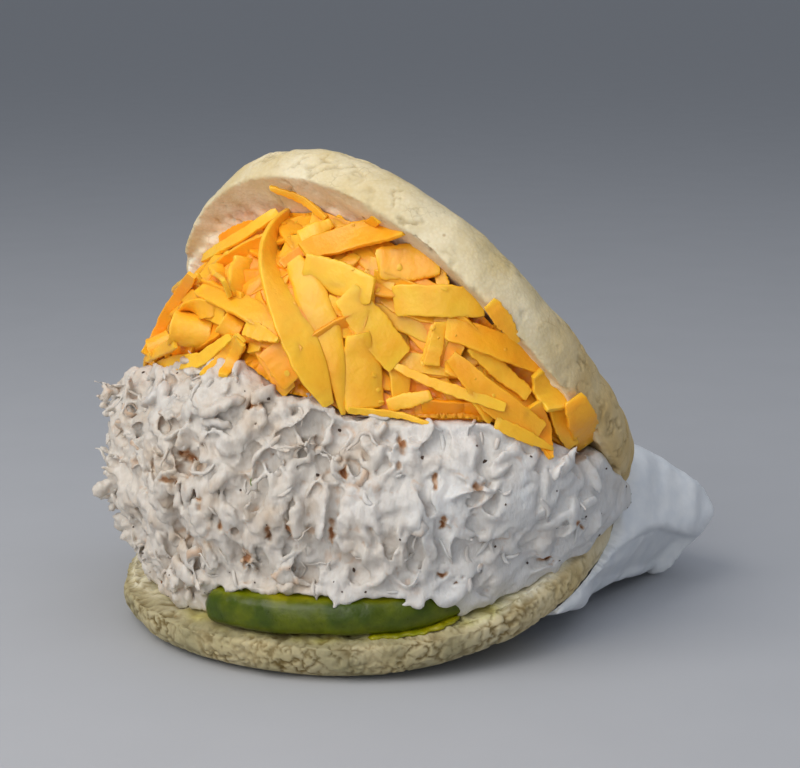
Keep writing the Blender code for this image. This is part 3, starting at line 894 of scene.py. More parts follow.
def clump(obj, around):
    """Gathers the heap into clumps parted by clefts, less where the dressing lies thick, and says how far
    into a cleft each point lies."""
    points = points_of(obj)
    edges = edges_of(obj)
    out = spread_evenly(normals_of(obj), edges, 25, 0.6)
    out /= np.linalg.norm(out, axis=1)[:, None]
    clear = np.array([around.find_nearest(Vector(p))[3] for p in points])
    room = ramp_array(0.3 * MM, 3.5 * MM, clear) * (1 - 0.5 * dressing_share(points))
    clefts = np.zeros(len(points))
    lift = np.zeros(len(points))
    for size, stands_out, seed in CLUMPS:
        swell = swellings(points, size * MM, seed)
        lift += stands_out * (swell - 0.7)
        clefts = np.maximum(clefts, 1 - np.minimum(1, swell / 0.35))
    move_points(obj, points + out * (lift * room * MM)[:, None])
    return clefts * np.minimum(1, room * 1.5)


def shrink_shown(obj, around, depth):
    """Draws in the uncovered part of a solid to leave room for what is laid on it, less near its neighbours."""
    points = points_of(obj)
    normals = normals_of(obj)
    lumps = noise_at(points, 6 * MM, 9)
    for i, p in enumerate(points):
        out = Vector(normals[i])
        if around.ray_cast(Vector(p) + out * 0.05 * MM, out, 5 * MM)[0] is None:
            near = smoothstep(0.5 * MM, 4 * MM, around.find_nearest(Vector(p))[3])
            points[i] -= normals[i] * depth * near * (1 - 0.5 * lumps[i])
    move_points(obj, points)


def dressing_share(points):
    """How thick the dressing lies: thin on the left of the heap, thick on its right, in patches."""
    over = (points - np.array(LEAF_MIDDLE)) @ np.array(OVER)
    return np.clip(ramp_array(-30 * MM, 45 * MM, over) + 0.5 * noise_at(points, 9 * MM, 12), 0, 1)


def coat_with_dressing(obj):
    """The dressing rounds the shreds off, more where it lies thick, and clings in small beads."""
    edges = edges_of(obj)
    thin_coat = spread_evenly(points_of(obj), edges, 1, 0.5)
    thick_coat = spread_evenly(thin_coat, edges, 7, 0.5)
    share = 0.12 + 0.7 * dressing_share(thin_coat)
    points = thin_coat + (thick_coat - thin_coat) * share[:, None]
    move_points(obj, points)
    normals = normals_of(obj)
    beads = 0.6 * noise_at(points, 2.4 * MM, 14) + 0.4 * noise_at(points, 1.2 * MM, 15)
    # Torn meat stands in sharp little ridges wherever the dressing has not filled it in.
    ridges = 0.25 - np.abs(noise_at(points, 2.8 * MM, 20)) + 0.5 * (0.25 - np.abs(noise_at(points, 1.4 * MM, 21)))
    bare = 1 - 0.7 * dressing_share(points)
    points += normals * ((0.14 * beads + 0.85 * ridges * bare) * MM)[:, None]
    move_points(obj, points)


def open_up(obj, heap, clefts):
    """Sinks the openings between the clumps, and says how far into one each point lies."""
    points = points_of(obj)
    depth = np.zeros(len(points))
    ragged = 0.95 + 1.3 * noise_at(points, 1.2 * MM, 16) + 0.8 * noise_at(points, 3.0 * MM, 17)
    ragged = np.maximum(ragged, 0.2)
    for over, rise, width, height, lean in OPENINGS:
        start = LEAF_MIDDLE + OVER * over * MM + RISE * rise * MM + SIGHT * DROP_LENGTH
        hit = heap.ray_cast(start, -SIGHT, 2 * DROP_LENGTH)[0]
        if hit is None:
            continue
        away = (points - np.array(hit)) / MM
        turn = math.radians(lean)
        level = away @ np.array(OVER * math.cos(turn) + RISE * math.sin(turn))
        upright = away @ np.array(RISE * math.cos(turn) - OVER * math.sin(turn))
        off = np.hypot(level / (0.5 * width), upright / (0.5 * height))
        inside = np.exp(-((off / ragged) ** 4)) * (np.abs(away @ np.array(SIGHT)) < 5)
        depth = np.maximum(depth, inside)
        points -= np.array(SIGHT) * (inside * (0.7 + 0.6 * min(width, height)) * MM)[:, None]
    move_points(obj, points)
    return depth


def mark_hollows(obj, opened, clefts):
    """Where tan is painted, partly the bare meat's own colour and partly painted shade: in the openings, in the hollows
    of the surface, and here and there along the clefts.
    """
    edges = edges_of(obj)
    points = points_of(obj)
    normals = normals_of(obj)
    smooth = spread_evenly(points, edges, 14, 0.6)
    below = ((smooth - points) * normals).sum(axis=1) / MM
    patches = ramp_array(-0.1, 0.4, noise_at(points, 5 * MM, 19))
    bare = np.maximum(0.55 * ramp_array(0.12, 0.7, below), 0.6 * clefts * patches)
    paint(obj, "hollow", np.maximum(bare, opened * (0.9 + 0.5 * noise_at(points, 1.6 * MM, 22))))
    paint(obj, "dressing", dressing_share(points))


def limit_hidden(obj, around, most):
    """Thins the mesh where other food covers it first, and then all over."""
    count = sum(len(p.vertices) - 2 for p in obj.data.polygons)
    if count <= most:
        return obj
    points = points_of(obj)
    covered = [i for i, p in enumerate(points) if around.find_nearest(Vector(p))[3] < 0.75 * MM]
    if covered:
        group = obj.vertex_groups.new(name="covered")
        group.add(covered, 1.0, "REPLACE")
        share = len(covered) / len(points)
        with_modifier(obj, "DECIMATE", ratio=1 - 0.85 * share, vertex_group="covered", vertex_group_factor=10)
        obj.vertex_groups.clear()
    return limit_triangles(obj, most)


def loose_shreds(surface):
    """Single shreds that lie on the heap or stand out from it, some of them hooked."""
    rng = random.Random(77)
    around = tree_of("corn_cake", "shredded_cheese", "paper_wrap", "avocado_front")
    pile = Pile()
    places = clear_of_hinge(rest_places(rng, "chicken_salad", around, surface, 130))
    for spot, normal in places:
        heading = along_surface(rng, normal)
        length = rng.uniform(3, 9) * MM
        free_end = rng.uniform(0.5, 1.8) * MM if rng.random() < 0.2 else 0.0
        path = shred_path(rng, surface, spot, normal, heading, length, rng.uniform(0.0, 0.4) * MM, free_end)
        radii = taper(rng, len(path), rng.uniform(0.28, 0.6) * MM, 0.3)
        pile.add(*strand(path, radii, 0.75, normal, sides=8), 0.0)
    obj = pile.finished("chicken_loose_shreds")
    points = points_of(obj)
    paint(obj, "hollow", 0.15 + 0.3 * noise_at(points, 6 * MM, 18))
    paint(obj, "dressing", dressing_share(points))
    shade_round(obj)
    return place(obj, bpy.data.materials["poached_chicken_in_mayonnaise"], "chicken_salad", "chicken_salad")


# ---- The cheese -----------------------------------------------------------------------------------

# The strips that show whole, the lowest first. Each has the places it passes through, as millimetres over and up from
# the middle of the lower leaf, its widths from end to end in millimetres, and its tone, pale 0 to deep 1. The tones are
# partly the cheese's own and partly painted shade: strips that lie low in the heap take the deeper ones.
LAID_STRIPS = (
    # Short ends and folded pieces, deep in the heap.
    (((-31, 82), (-23, 85)), (2, 3, 2), 0.9),
    (((-16, 75), (-10, 79)), (2, 2.5), 0.9),
    (((-1, 82), (4, 84)), (2.5, 2), 0.7),
    (((7, 77), (14, 77)), (2, 2), 0.3),
    (((40.5, 46), (44.5, 37.5)), (3.5, 4.5, 2.5), 0.3),
    (((44, 47.5), (48.5, 38)), (4, 6, 5.5), 0.5),
    (((35.5, 46), (39.5, 35)), (4, 4.5, 0.8), 0.7),
    (((23, 58), (35, 48)), (2.5, 3.5, 2.5), 0.2),
    (((19, 56), (27, 47.5), (37, 40)), (2.5, 5.5, 5.5), 0.5),
    (((-32, 52), (-24, 60)), (2, 2.5), 0.3),
    (((-28, 52), (-24, 59)), (2, 2.5), 0.5),
        (((-39, 71), (-34, 67), (-28, 64)), (3, 4, 3), 0.3),
    (((-41, 67), (-30, 66)), (4, 4.5, 3), 0.5),
    (((-34, 72), (-24, 67)), (3, 4), 0.5),
    (((-47, 56), (-39, 59)), (2, 2.5), 0.3),
    (((-41, 71), (-34, 73)), (2.5, 2), 0.2),
    (((-47.5, 57), (-41.5, 67), (-35.5, 73.5)), (1.6, 2.6, 2.2), 0.6),
    # Longer ones over them.
    (((-31.5, 75), (-23.5, 79), (-19, 81)), (2.5, 3.5, 3), 0.5),
    (((26.5, 66.5), (29, 63.5), (32.5, 59)), (3, 3.4, 0.8), 0.5),
    (((18, 61.5), (29, 58), (41, 53.5)), (4.5, 5.4, 4.5), 0.45),
    (((6, 46), (15, 48)), (2.5, 3, 2), 0.2),
    (((7.5, 54), (15, 50.5), (30, 45.5)), (1.4, 2.2, 2), 0.15),
    (((-18, 58), (-13, 51)), (5, 5.5), 0.7),
    (((-34, 70.5), (-25, 67), (-14, 61)), (3.5, 5, 5.5), 0.35),
    (((-23, 62), (-16, 59)), (3.5, 3, 1), 0.3),
    (((-24, 77), (-26, 69)), (4.5, 5, 3.5), 0.1),
    (((-31, 76), (-27, 70)), (3, 4), 0.25),
    (((17, 63), (15, 54)), (2.5, 3.2), 0.25),
    (((16, 76), (18, 68)), (1.5, 3), 0.2),
    (((4, 75), (16.5, 75.5)), (6, 7.4, 6), 0.45),
    (((-11.5, 77.5), (-2, 80.5), (10, 82.5)), (4.5, 6, 5.5), 0.6),
    (((-12.5, 81), (-5.5, 84)), (3, 3.2, 2), 0.0),
    (((28, 42.5), (40, 37)), (2.4, 2.6, 0.8), 0.2),
    (((38, 54), (39.5, 50), (41, 45)), (6, 8, 5.5), 0.1),
    # The whole strips on top.
    (((-13.5, 76), (-9.5, 68), (-6, 59.5), (-3.8, 50), (-3, 44)), (4, 6.2, 6, 4, 1.2), 0.3),
    (((-15.4, 87.5), (-19.3, 81.5), (-19, 77), (-15, 65.5), (-11, 57), (-6, 46)), (2, 5.2, 6, 7, 6.6, 2.4), 0.15),
    (((-35, 78), (-26, 82), (-17.5, 87)), (2.4, 2.8, 2.2), 0.0),
    (((-2.5, 69), (2, 63), (8.5, 55)), (5.5, 6.8, 6.2), 0.12),
    (((-11, 75), (3, 69)), (4.5, 6.4, 5.5), 0.0),
    (((0, 60.5), (1.5, 45)), (4.5, 7.6, 7.2), 0.3),
    (((-2, 45), (9, 44), (15, 42)), (1.4, 1.4, 0.8), 0.1),
    (((7.5, 67.5), (25.5, 67)), (6, 6, 5.6), 0.1),
    (((-45, 54), (-38.5, 55), (-33, 55), (-29.5, 58), (-26, 60)), (1.6, 3, 3, 2.4, 1.6), 0.0),
    (((-19, 92), (-12, 89.5), (-7, 85)), (1.0, 1.8, 1.2), 0.3),
)
# Strips that rolled up as they were cut: millimetres over and up, the length of the roll, its radius, and how
# far it is turned from level, in degrees.
CURLS = ((-35.5, 61.5, 9.5, 3.2, -8), (-43.5, 58.5, 6.0, 2.1, 25), (-26.5, 62.0, 5.0, 1.9, -30))
STRIP_STEPS = 23


def drawn_through(stops, count):
    """Evenly spaced (over, rise) places along a line through the stops, rounded where it turns."""
    stops = np.array(stops, dtype=float)
    run = np.concatenate([[0], np.cumsum(np.linalg.norm(np.diff(stops, axis=0), axis=1))])
    at = np.linspace(0, run[-1], count)
    line = np.column_stack([np.interp(at, run, stops[:, k]) for k in range(2)])
    for _ in range(5):
        line[1:-1] = (line[:-2] + 2 * line[1:-1] + line[2:]) / 4
    return line * MM


def met_first(trees, start):
    """The nearest hit, along the line of sight, on any of the trees."""
    hits = [tree.ray_cast(start, -SIGHT, 2 * DROP_LENGTH) for tree in trees]
    hits = [hit for hit in hits if hit[0] is not None]
    return min(hits, key=lambda hit: hit[3]) if hits else None


def laid_path(trees, backing, line, width, lift):
    """The points of a stiff strip that rests on whatever is met first along the line, and the way the heap
    faces there. A quadratic through the depths met is as much as a strip bends. Where most of the line is
    off the heap, the strip lies on the backing too."""
    across = (line[-1] - line[0]) / np.linalg.norm(line[-1] - line[0])
    across = np.array([-across[1], across[0]]) * width * 0.3
    for met in (trees, [*trees, backing]):
        share, depths, outs = [], [], []
        for s, place in zip(np.linspace(0, 1, len(line)), line):
            for step in (-1, 0, 1):
                over, rise = place + across * step
                start = LEAF_MIDDLE + OVER * over + RISE * rise + SIGHT * DROP_LENGTH
                hit = met_first(met, start)
                if hit:
                    share.append(s)
                    depths.append((hit[0] - LEAF_MIDDLE).dot(SIGHT))
                    outs.append(hit[1])
        if len(depths) > 1.5 * len(line):
            break
    bend = np.polyfit(share, depths, 2 if len(depths) > 12 else 0)
    above = np.percentile(np.array(depths) - np.polyval(bend, share), 80) + lift
    path = []
    for s, (over, rise) in zip(np.linspace(0, 1, len(line)), line):
        path.append(LEAF_MIDDLE + OVER * over + RISE * rise + SIGHT * (np.polyval(bend, s) + above))
    return path, (sum(outs, Vector()).normalized() + SIGHT * 2).normalized()


def strip_solid(path, normals, widths, thickness, rng, torn=0.4):
    """A flat strip with soft edges along a path. Its width follows `widths` and wanders a little, it cups
    slightly across, and its ends are torn."""
    count = len(path)
    sides = 16
    rings = []
    wander = rng.uniform(0, 50)
    cup = rng.uniform(-0.1, 0.1) * max(widths)
    stops = np.linspace(0, 1, len(widths))
    for k, (point, (heading, normal, side)) in enumerate(zip(path, turned_frames(path, normals))):
        s = k / (count - 1)
        from_end = min(k, count - 1 - k)
        half = np.interp(s, stops, widths) / 2 * (0.88 if from_end == 0 else 1.0)
        thick = thickness / 2 * (0.8 if from_end == 0 else 1.0)
        thick *= 1 + 0.2 * noise.noise(Vector((wander, s * 7, 12)))
        left = half * (1 + 0.08 * noise.noise(Vector((wander, s * 5, 4)))) + ragged(wander + 20, k)
        right = half * (1 + 0.08 * noise.noise(Vector((wander, s * 5, 8)))) + ragged(wander + 60, k)
        ring = []
        for i in range(sides):
            turn = math.tau * (i + 0.5) / sides
            across = math.copysign(abs(math.cos(turn)) ** 0.22, math.cos(turn))
            up = thick * math.copysign(abs(math.sin(turn)) ** 0.3, math.sin(turn)) + cup * across**2
            across *= right if across > 0 else left
            tear = 0.0
            if from_end == 0:
                tear = torn * (0.5 * across + 1.2 * MM * noise.noise(Vector((wander, 1.3 * across / MM, k))))
            ring.append(point + side * across + normal * up + heading * tear)
        rings.append(ring)
    return lofted(rings)


def ragged(seed, step):
    """How far a cut edge stands out at one step along it."""
    return 0.3 * MM * noise.noise(Vector((seed, step * 0.8, 0)))


def turned_frames(path, normals):
    """The (heading, normal, side) at each point of a path whose strip faces along `normals`."""
    for k, point in enumerate(path):
        heading = (path[min(k + 1, len(path) - 1)] - path[max(k - 1, 0)]).normalized()
        normal = (normals[k] - heading * normals[k].dot(heading)).normalized()
        yield heading, normal, heading.cross(normal)


def rolled(rng, path, out, roll):
    """The way the strip's flat side faces at each point: turned about its own line, with a slight twist."""
    heading = (path[-1] - path[0]).normalized()
    twist = rng.gauss(0, 0.16)
    count = len(path)
    return [Matrix.Rotation(roll + twist * (k / (count - 1) - 0.5), 3, heading) @ out for k in range(count)]


def laid_strips(rng, pile, heap, backing):
    for stops, widths, tone in LAID_STRIPS:
        line = drawn_through(stops, STRIP_STEPS)
        below = BVHTree.FromPolygons(pile.points, pile.faces)
        widest = max(widths)
        path, out = laid_path([heap, below], backing, line, widest * MM, 0.1 * MM)
        thickness = mix(0.8, 1.25, min(1, widest / 5)) * MM
        normals = rolled(rng, path, out, rng.gauss(0, 0.12))
        points, faces = strip_solid(path, normals, [1.1 * w * MM for w in widths], thickness, rng, torn=0.25)
        pile.add(points, faces, paler_ends(points, tone))


def paler_ends(points, tone):
    """A strip's tone at each of its points: its torn ends let more light through."""
    steps = len(points) // 16
    tones = []
    for k in range(steps):
        from_end = min(k, steps - 1 - k)
        tones += [tone - 0.4 * max(0.0, 1 - from_end / 1.5)] * 16
    return tones


def curled_strips(rng, pile, heap):
    """Strips that rolled up on themselves, lying on the left of the heap."""
    for over, rise, length, radius, lean in CURLS:
        start = LEAF_MIDDLE + OVER * over * MM + RISE * rise * MM + SIGHT * DROP_LENGTH
        hit = heap.ray_cast(start, -SIGHT, 2 * DROP_LENGTH)[0]
        if hit is None:
            continue
        axis = OVER * math.cos(math.radians(lean)) + RISE * math.sin(math.radians(lean))
        outward = axis.cross(RISE).normalized()
        outward *= math.copysign(1, outward.dot(SIGHT))
        path, normals = [], []
        for k in range(STRIP_STEPS):
            turn = mix(-2.2, 3.4, k / (STRIP_STEPS - 1))
            radial = Matrix.Rotation(turn, 3, axis) @ outward
            path.append(hit + outward * 0.2 * radius * MM + radial * radius * MM * mix(1.0, 0.7, k / STRIP_STEPS))
            normals.append(radial)
        widths = [0.8 * length * MM, length * MM, 0.85 * length * MM]
        pile.add(*strip_solid(path, normals, widths, 1.1 * MM, rng, torn=0.2), rng.uniform(0.2, 0.5))


def random_strips(rng, pile, heap, around, count, widths, lengths, lifts):
    top = LEAF_MIDDLE + OVER * -12 * MM + RISE * 92 * MM + SIGHT * 30 * MM
    steps = 13
    for spot, normal in shown_spots(rng, "shredded_cheese", around, count, reach=3 * MM):
        # They fell from the top of the heap, so more of them point away from it than across it.
        heading = (spot - top).normalized() + Vector((rng.gauss(0, 0.6), rng.gauss(0, 0.6), rng.gauss(0, 0.6)))
        heading = (heading - normal * heading.dot(normal)).normalized()
        length = rng.uniform(*lengths) * MM
        middle = spot + normal * rng.uniform(*lifts) * MM
        sway = normal.cross(heading) * rng.uniform(-0.08, 0.08) * length
        arch = rng.uniform(-0.4, 0.9) * MM
        path = []
        for k in range(steps):
            s = k / (steps - 1)
            bow = 4 * s * (1 - s)
            straight = middle + heading * (s - 0.5) * length
            on_heap = heap.find_nearest(straight)[0] + (middle - spot)
            path.append(straight.lerp(on_heap, 0.5) + (sway + normal * arch) * bow)
        if any(around.find_nearest(p)[3] < 0.6 * MM or is_inside(around, p) for p in path):
            continue
        normals = rolled(rng, path, normal, rng.gauss(0, 0.3))
        thickness = rng.uniform(0.8, 1.25) * MM
        widest = rng.uniform(*widths) * MM
        tapered = [widest * rng.uniform(0.5, 1.0), widest, widest * rng.uniform(0.5, 1.0)]
        points, faces = strip_solid(path, normals, tapered, thickness, rng)
        pile.add(points, faces, paler_ends(points, rng.uniform(0.1, 1.0)))


def cheese_core():
    """The cheese deep in the heap that shows between the strips; its one deep tone is painted shade for the gaps."""
    around = tree_of("corn_cake", "chicken_salad", "paper_wrap")
    obj = solid_copy("shredded_cheese", "cheese_core")
    with_modifier(obj, "REMESH", mode="VOXEL", voxel_size=1.0 * MM)
    points = spread_evenly(points_of(obj), edges_of(obj), 3)
    move_points(obj, points)
    normals = normals_of(obj)
    lumps = noise_at(points, 3.2 * MM, 31)
    for i, p in enumerate(points):
        out = Vector(normals[i])
        if around.ray_cast(Vector(p) + out * 0.05 * MM, out, 4 * MM)[0] is None:
            points[i] -= normals[i] * (2.4 + 1.2 * lumps[i]) * MM
    move_points(obj, points)
    # Painted shade: the whole core takes a deep tone.
    paint(obj, "tone", np.full(len(points), 0.8))
    shade_round(obj)
    return place(obj, bpy.data.materials["cheddar_shredded"], "shredded_cheese", "shredded_cheese")


def cheese_strips():
    rng = random.Random(5)
    heap = tree_of("shredded_cheese")
    around = tree_of("corn_cake", "chicken_salad")
    pile = Pile()
    random_strips(rng, pile, heap, around, 150, (3.0, 5.5), (9, 18), (-2.6, -1.2))
    random_strips(rng, pile, heap, around, 110, (4.0, 7.0), (14, 28), (-2.0, -0.6))
    curled_strips(rng, pile, heap)
    laid_strips(rng, pile, tree_of("shredded_cheese", "chicken_salad"), tree_of("corn_cake"))
    obj = pile.finished("cheese_strips")
    shade_round(obj, 62)
    return place(obj, shredded_cheddar(), "shredded_cheese", "shredded_cheese")


# ---- Crumbs and seasoning -------------------------------------------------------------------------


def ball(rounds):
    """Corners and faces of a ball of radius one."""
    work = bmesh.new()
    bmesh.ops.create_icosphere(work, subdivisions=rounds, radius=1.0)
    corners = [v.co.copy() for v in work.verts]
    faces = [tuple(v.index for v in f.verts) for f in work.faces]
    work.free()
    return corners, faces


def chip(rng, at, out, size, flatness, shape):
    """One irregular chip lying on a surface that faces `out`: a ball whose corners are pulled in and out."""
    corners, faces = shape
    along = Vector((rng.gauss(0, 1), rng.gauss(0, 1), rng.gauss(0, 1)))
    along = (along - out * along.dot(out)).normalized()
    side = out.cross(along)
    long_share = rng.uniform(0.9, 1.5)
    points = []
    for corner in corners:
        pull = size / 2 * rng.uniform(0.65, 1.2)
        points.append(at + (along * corner.x * long_share + side * corner.y + out * corner.z * flatness) * pull)
    return points, faces


def surface_of(*objects):
    """One search tree over finished pieces."""
    points, faces = [], []
    for obj in objects:
        start = len(points)
        points += [v.co.copy() for v in obj.data.vertices]
        faces += [tuple(start + i for i in p.vertices) for p in obj.data.polygons]
    return BVHTree.FromPolygons(points, faces)


def rest_places(rng, node, around, surface, count):
    """Places on the finished food, above random spots of the solid it grew from."""
    for spot, normal in shown_spots(rng, node, around, count):
        hit, out, _, _ = surface.ray_cast(spot + normal * 6 * MM, -normal, 12 * MM)
        if hit is not None:
            yield hit, out


def cheese_crumbs(surface):
    rng = random.Random(19)
    around = tree_of("corn_cake")
    pile = Pile()
    for at, out in rest_places(rng, "shredded_cheese", around, surface, 90):
        points, faces = chip(rng, at, out, rng.uniform(0.5, 1.5) * MM, 0.6, ball(1))
        pile.add(points, faces, rng.uniform(0.0, 0.5))
    obj = pile.finished("cheese_crumbs")
    shade_round(obj, 40)
    return place(obj, bpy.data.materials["cheddar_shredded"], "shredded_cheese", "shredded_cheese")


def pepper(surface):
    rng = random.Random(23)
    around = tree_of("corn_cake", "shredded_cheese", "paper_wrap", "avocado_front")
    pile = Pile()
    for at, out in rest_places(rng, "chicken_salad", around, surface, 100):
        points, faces = chip(rng, at, out, rng.choice((0.35, 0.45, 0.5, 0.6, 0.9)) * MM, 0.6, ball(1))
        pile.add(points, faces, rng.uniform(0.0, 1.0))
    obj = pile.finished("pepper_flakes")
    shade_round(obj, 30)
    return place(obj, ground_seasoning("black_pepper_cracked", "#5A4436", "#1E1815"), "chicken_salad", "chicken_salad")


def short_bits(rng, around, surface, name, count, lengths, thicknesses, sunk):
    """Short bent bits pressed into the salad."""
    pile = Pile()
    for at, out in rest_places(rng, "chicken_salad", around, surface, count):
        heading = Vector((rng.gauss(0, 1), rng.gauss(0, 1), rng.gauss(0, 1)))
        heading = (heading - out * heading.dot(out)).normalized()
        length = rng.uniform(*lengths) * MM
        thickness = rng.uniform(*thicknesses) * MM
        bend = out.cross(heading) * rng.uniform(-0.25, 0.25) * length
        path = []
        for k in range(6):
            s = k / 5
            path.append(at + heading * (s - 0.5) * length + bend * (2 * s - 1) ** 2 - out * thickness * sunk)
        points, faces = strand(path, taper(rng, 6, thickness / 2, 0.35), 0.7, out)
        pile.add(points, faces, rng.uniform(0.0, 1.0))
    obj = pile.finished(name)
    shade_round(obj, 60)
    return obj


def browned_bits(surface):
    around = tree_of("corn_cake", "shredded_cheese", "paper_wrap", "avocado_front")
    obj = short_bits(random.Random(29), around, surface, "browned_chicken_bits", 30, (0.8, 2.4), (0.4, 0.9), 0.5)
    return place(obj, ground_seasoning("chicken_edges_browned", "#B07A4C", "#6E3A1E"), "chicken_salad", "chicken_salad")


def herbs(surface):
    around = tree_of("corn_cake", "shredded_cheese", "paper_wrap", "avocado_front")
    obj = short_bits(random.Random(31), around, surface, "herb_bits", 9, (1.5, 5.0), (0.3, 0.5), 0.0)
    return place(obj, ground_seasoning("parsley_chopped", "#6F8A3A", "#33471B"), "chicken_salad", "chicken_salad")


# ---- The avocado ----------------------------------------------------------------------------------


def avocado_slice(node, name, material):
    obj = solid_copy(node, name)
    with_modifier(obj, "REMESH", mode="VOXEL", voxel_size=0.5 * MM)
    points = spread_evenly(points_of(obj), edges_of(obj), 8)
    move_points(obj, points)
    normals = normals_of(obj)
    dents = 0.35 * noise_at(points, 7 * MM, 51) + 0.12 * noise_at(points, 2.5 * MM, 52)
    points += normals * (dents * MM)[:, None]
    move_points(obj, points)
    low, high = points[:, 2].min(), points[:, 2].max()
    radial = points - np.array(LEAF_MIDDLE)
    radial[:, 2] = 0
    radial /= np.linalg.norm(radial, axis=1)[:, None]
    facing_out = (normals * radial).sum(axis=1)
    # The flesh colour is drawn paler on faces that point up high on the slice and towards the left of the heap, and
    # greener on faces that point out.
    up = normals[:, 2] * (points[:, 2] - low) / (high - low)
    over = (points - np.array(LEAF_MIDDLE)) @ np.array(OVER)
    paler_to_left = 0.45 * ramp_array(-20 * MM, -36 * MM, over)
    seen = up - 0.7 * facing_out + paler_to_left + 0.2 * noise_at(points, 6 * MM, 53)
    paint(obj, "flesh", ramp_array(-0.1, 0.9, seen))
    shade_round(obj)
    return place(obj, material, "avocado", node)


MASH_BEARINGS = (238, 259)
MASH_FROM_MIDDLE = (48, 53.5)


def avocado_mash(material):
    """Avocado squeezed out at the near end of the slice and wiped along the rim."""
    rng = random.Random(61)
    cake = tree_of("corn_cake")
    shape = ball(2)
    pile = Pile()
    for _ in range(130):
        bearing = math.radians(rng.uniform(*MASH_BEARINGS))
        reach = rng.uniform(*MASH_FROM_MIDDLE) * MM
        over_rim = LEAF_MIDDLE + Vector((math.cos(bearing) * reach, math.sin(bearing) * reach, 20 * MM))
        hit, out, _, _ = cake.ray_cast(over_rim, Vector((0, 0, -1)), 20 * MM)
        if hit is not None:
            pile.add(*chip(rng, hit, out, rng.uniform(1.6, 3.4) * MM, 0.5, shape), 0.0)
    obj = pile.finished("avocado_mash")
    with_modifier(obj, "REMESH", mode="VOXEL", voxel_size=0.4 * MM)
    points = spread_evenly(points_of(obj), edges_of(obj), 7)
    points += normals_of(obj) * (0.3 * noise_at(points, 2.4 * MM, 62) * MM)[:, None]
    move_points(obj, points)
    paint(obj, "flesh", 0.8 + 0.4 * noise_at(points, 3 * MM, 63))
    shade_round(obj)
    return place(obj, material, "avocado", "avocado_front")


# ---- The wrap -------------------------------------------------------------------------------------

# The paper was gripped under the cake: it turns under along a fold that runs through these places, as
# millimetres over and up, and below it the sheet draws in towards the cake.
GRIP_FOLD = ((52, 9), (58, 14), (66, 18), (71, 18), (76, 15))
GRIP_DEPTH = 9.0
GRIP_HEIGHT = 15.0
# Soft pleats that run down the near side: where they cross the fold, their direction, and how far they stand.
PLEATS = ((63, 0.10, 0.7), (70, -0.05, -0.8), (77, 0.12, 1.1), (80, 0.2, -0.7))
PLEAT_WIDTH = 2.2


def crease_height(point):
    """Sharp folds between flat panels, as crushed paper has: large ones, then small ones across them."""
    total = 0.0
    for size, amount, seed in ((22 * MM, 1.1, 3.0), (10 * MM, 0.5, 8.0), (5 * MM, 0.2, 15.0)):
        total += amount * (0.35 - abs(noise.noise(point / size + Vector((seed, 0, 0)))) * 1.6)
    return total


def gripped(points):
    """How far each point of the near side is drawn in under the fold, and raised or sunk by a pleat, in mm."""
    away = (points - np.array(LEAF_MIDDLE)) / MM
    over, rise = away @ np.array(OVER), away @ np.array(RISE)
    fold = np.array(GRIP_FOLD, dtype=float)
    ridge = np.interp(over, fold[:, 0], fold[:, 1])
    below = ridge - rise
    in_reach = ramp_array(fold[0, 0] - 4, fold[0, 0] + 4, over) * ramp_array(fold[-1, 0] + 6, fold[-1, 0], over)
    drawn_in = GRIP_DEPTH * ramp_array(0, 3.5, below) * ramp_array(GRIP_HEIGHT + 9, GRIP_HEIGHT - 2, below)
    pleat = np.zeros(len(points))
    for at, lean, stands in PLEATS:
        off_line = over - at + lean * below
        pleat += stands * np.exp(-((off_line / PLEAT_WIDTH) ** 2)) * ramp_array(2, -3, below)
    return drawn_in * in_reach, pleat


def wrap_hull():
    """The closed shape that the sheet is pulled over, as an even mesh."""
    work = bmesh.new()
    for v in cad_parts["paper_wrap"].data.vertices:
        work.verts.new(v.co)
    result = bmesh.ops.convex_hull(work, input=work.verts)
    spare = {v for v in result["geom_interior"] + result["geom_unused"] if isinstance(v, bmesh.types.BMVert)}
    bmesh.ops.delete(work, geom=list(spare), context="VERTS")
    mesh = bpy.data.meshes.new("paper_wrap_sheet")
    work.to_mesh(mesh)
    work.free()
    obj = link(bpy.data.objects.new("paper_wrap_sheet", mesh))
    return with_modifier(obj, "REMESH", mode="VOXEL", voxel_size=1.2 * MM)


def bring_lip_to(work, cake):
    """Lengthens the sheet's open edge until it lies on the cake."""
    edge = [e for e in work.edges if len(e.link_faces) == 1]
    for share in (0.5, 1.0):
        grown = bmesh.ops.extrude_edge_only(work, edges=edge)["geom"]
        edge = [e for e in grown if isinstance(e, bmesh.types.BMEdge)]
        for v in {v for e in edge for v in e.verts}:
            on_cake, out, _, _ = cake.find_nearest(v.co)
            v.co = v.co.lerp(on_cake + out * 0.1 * MM, share)


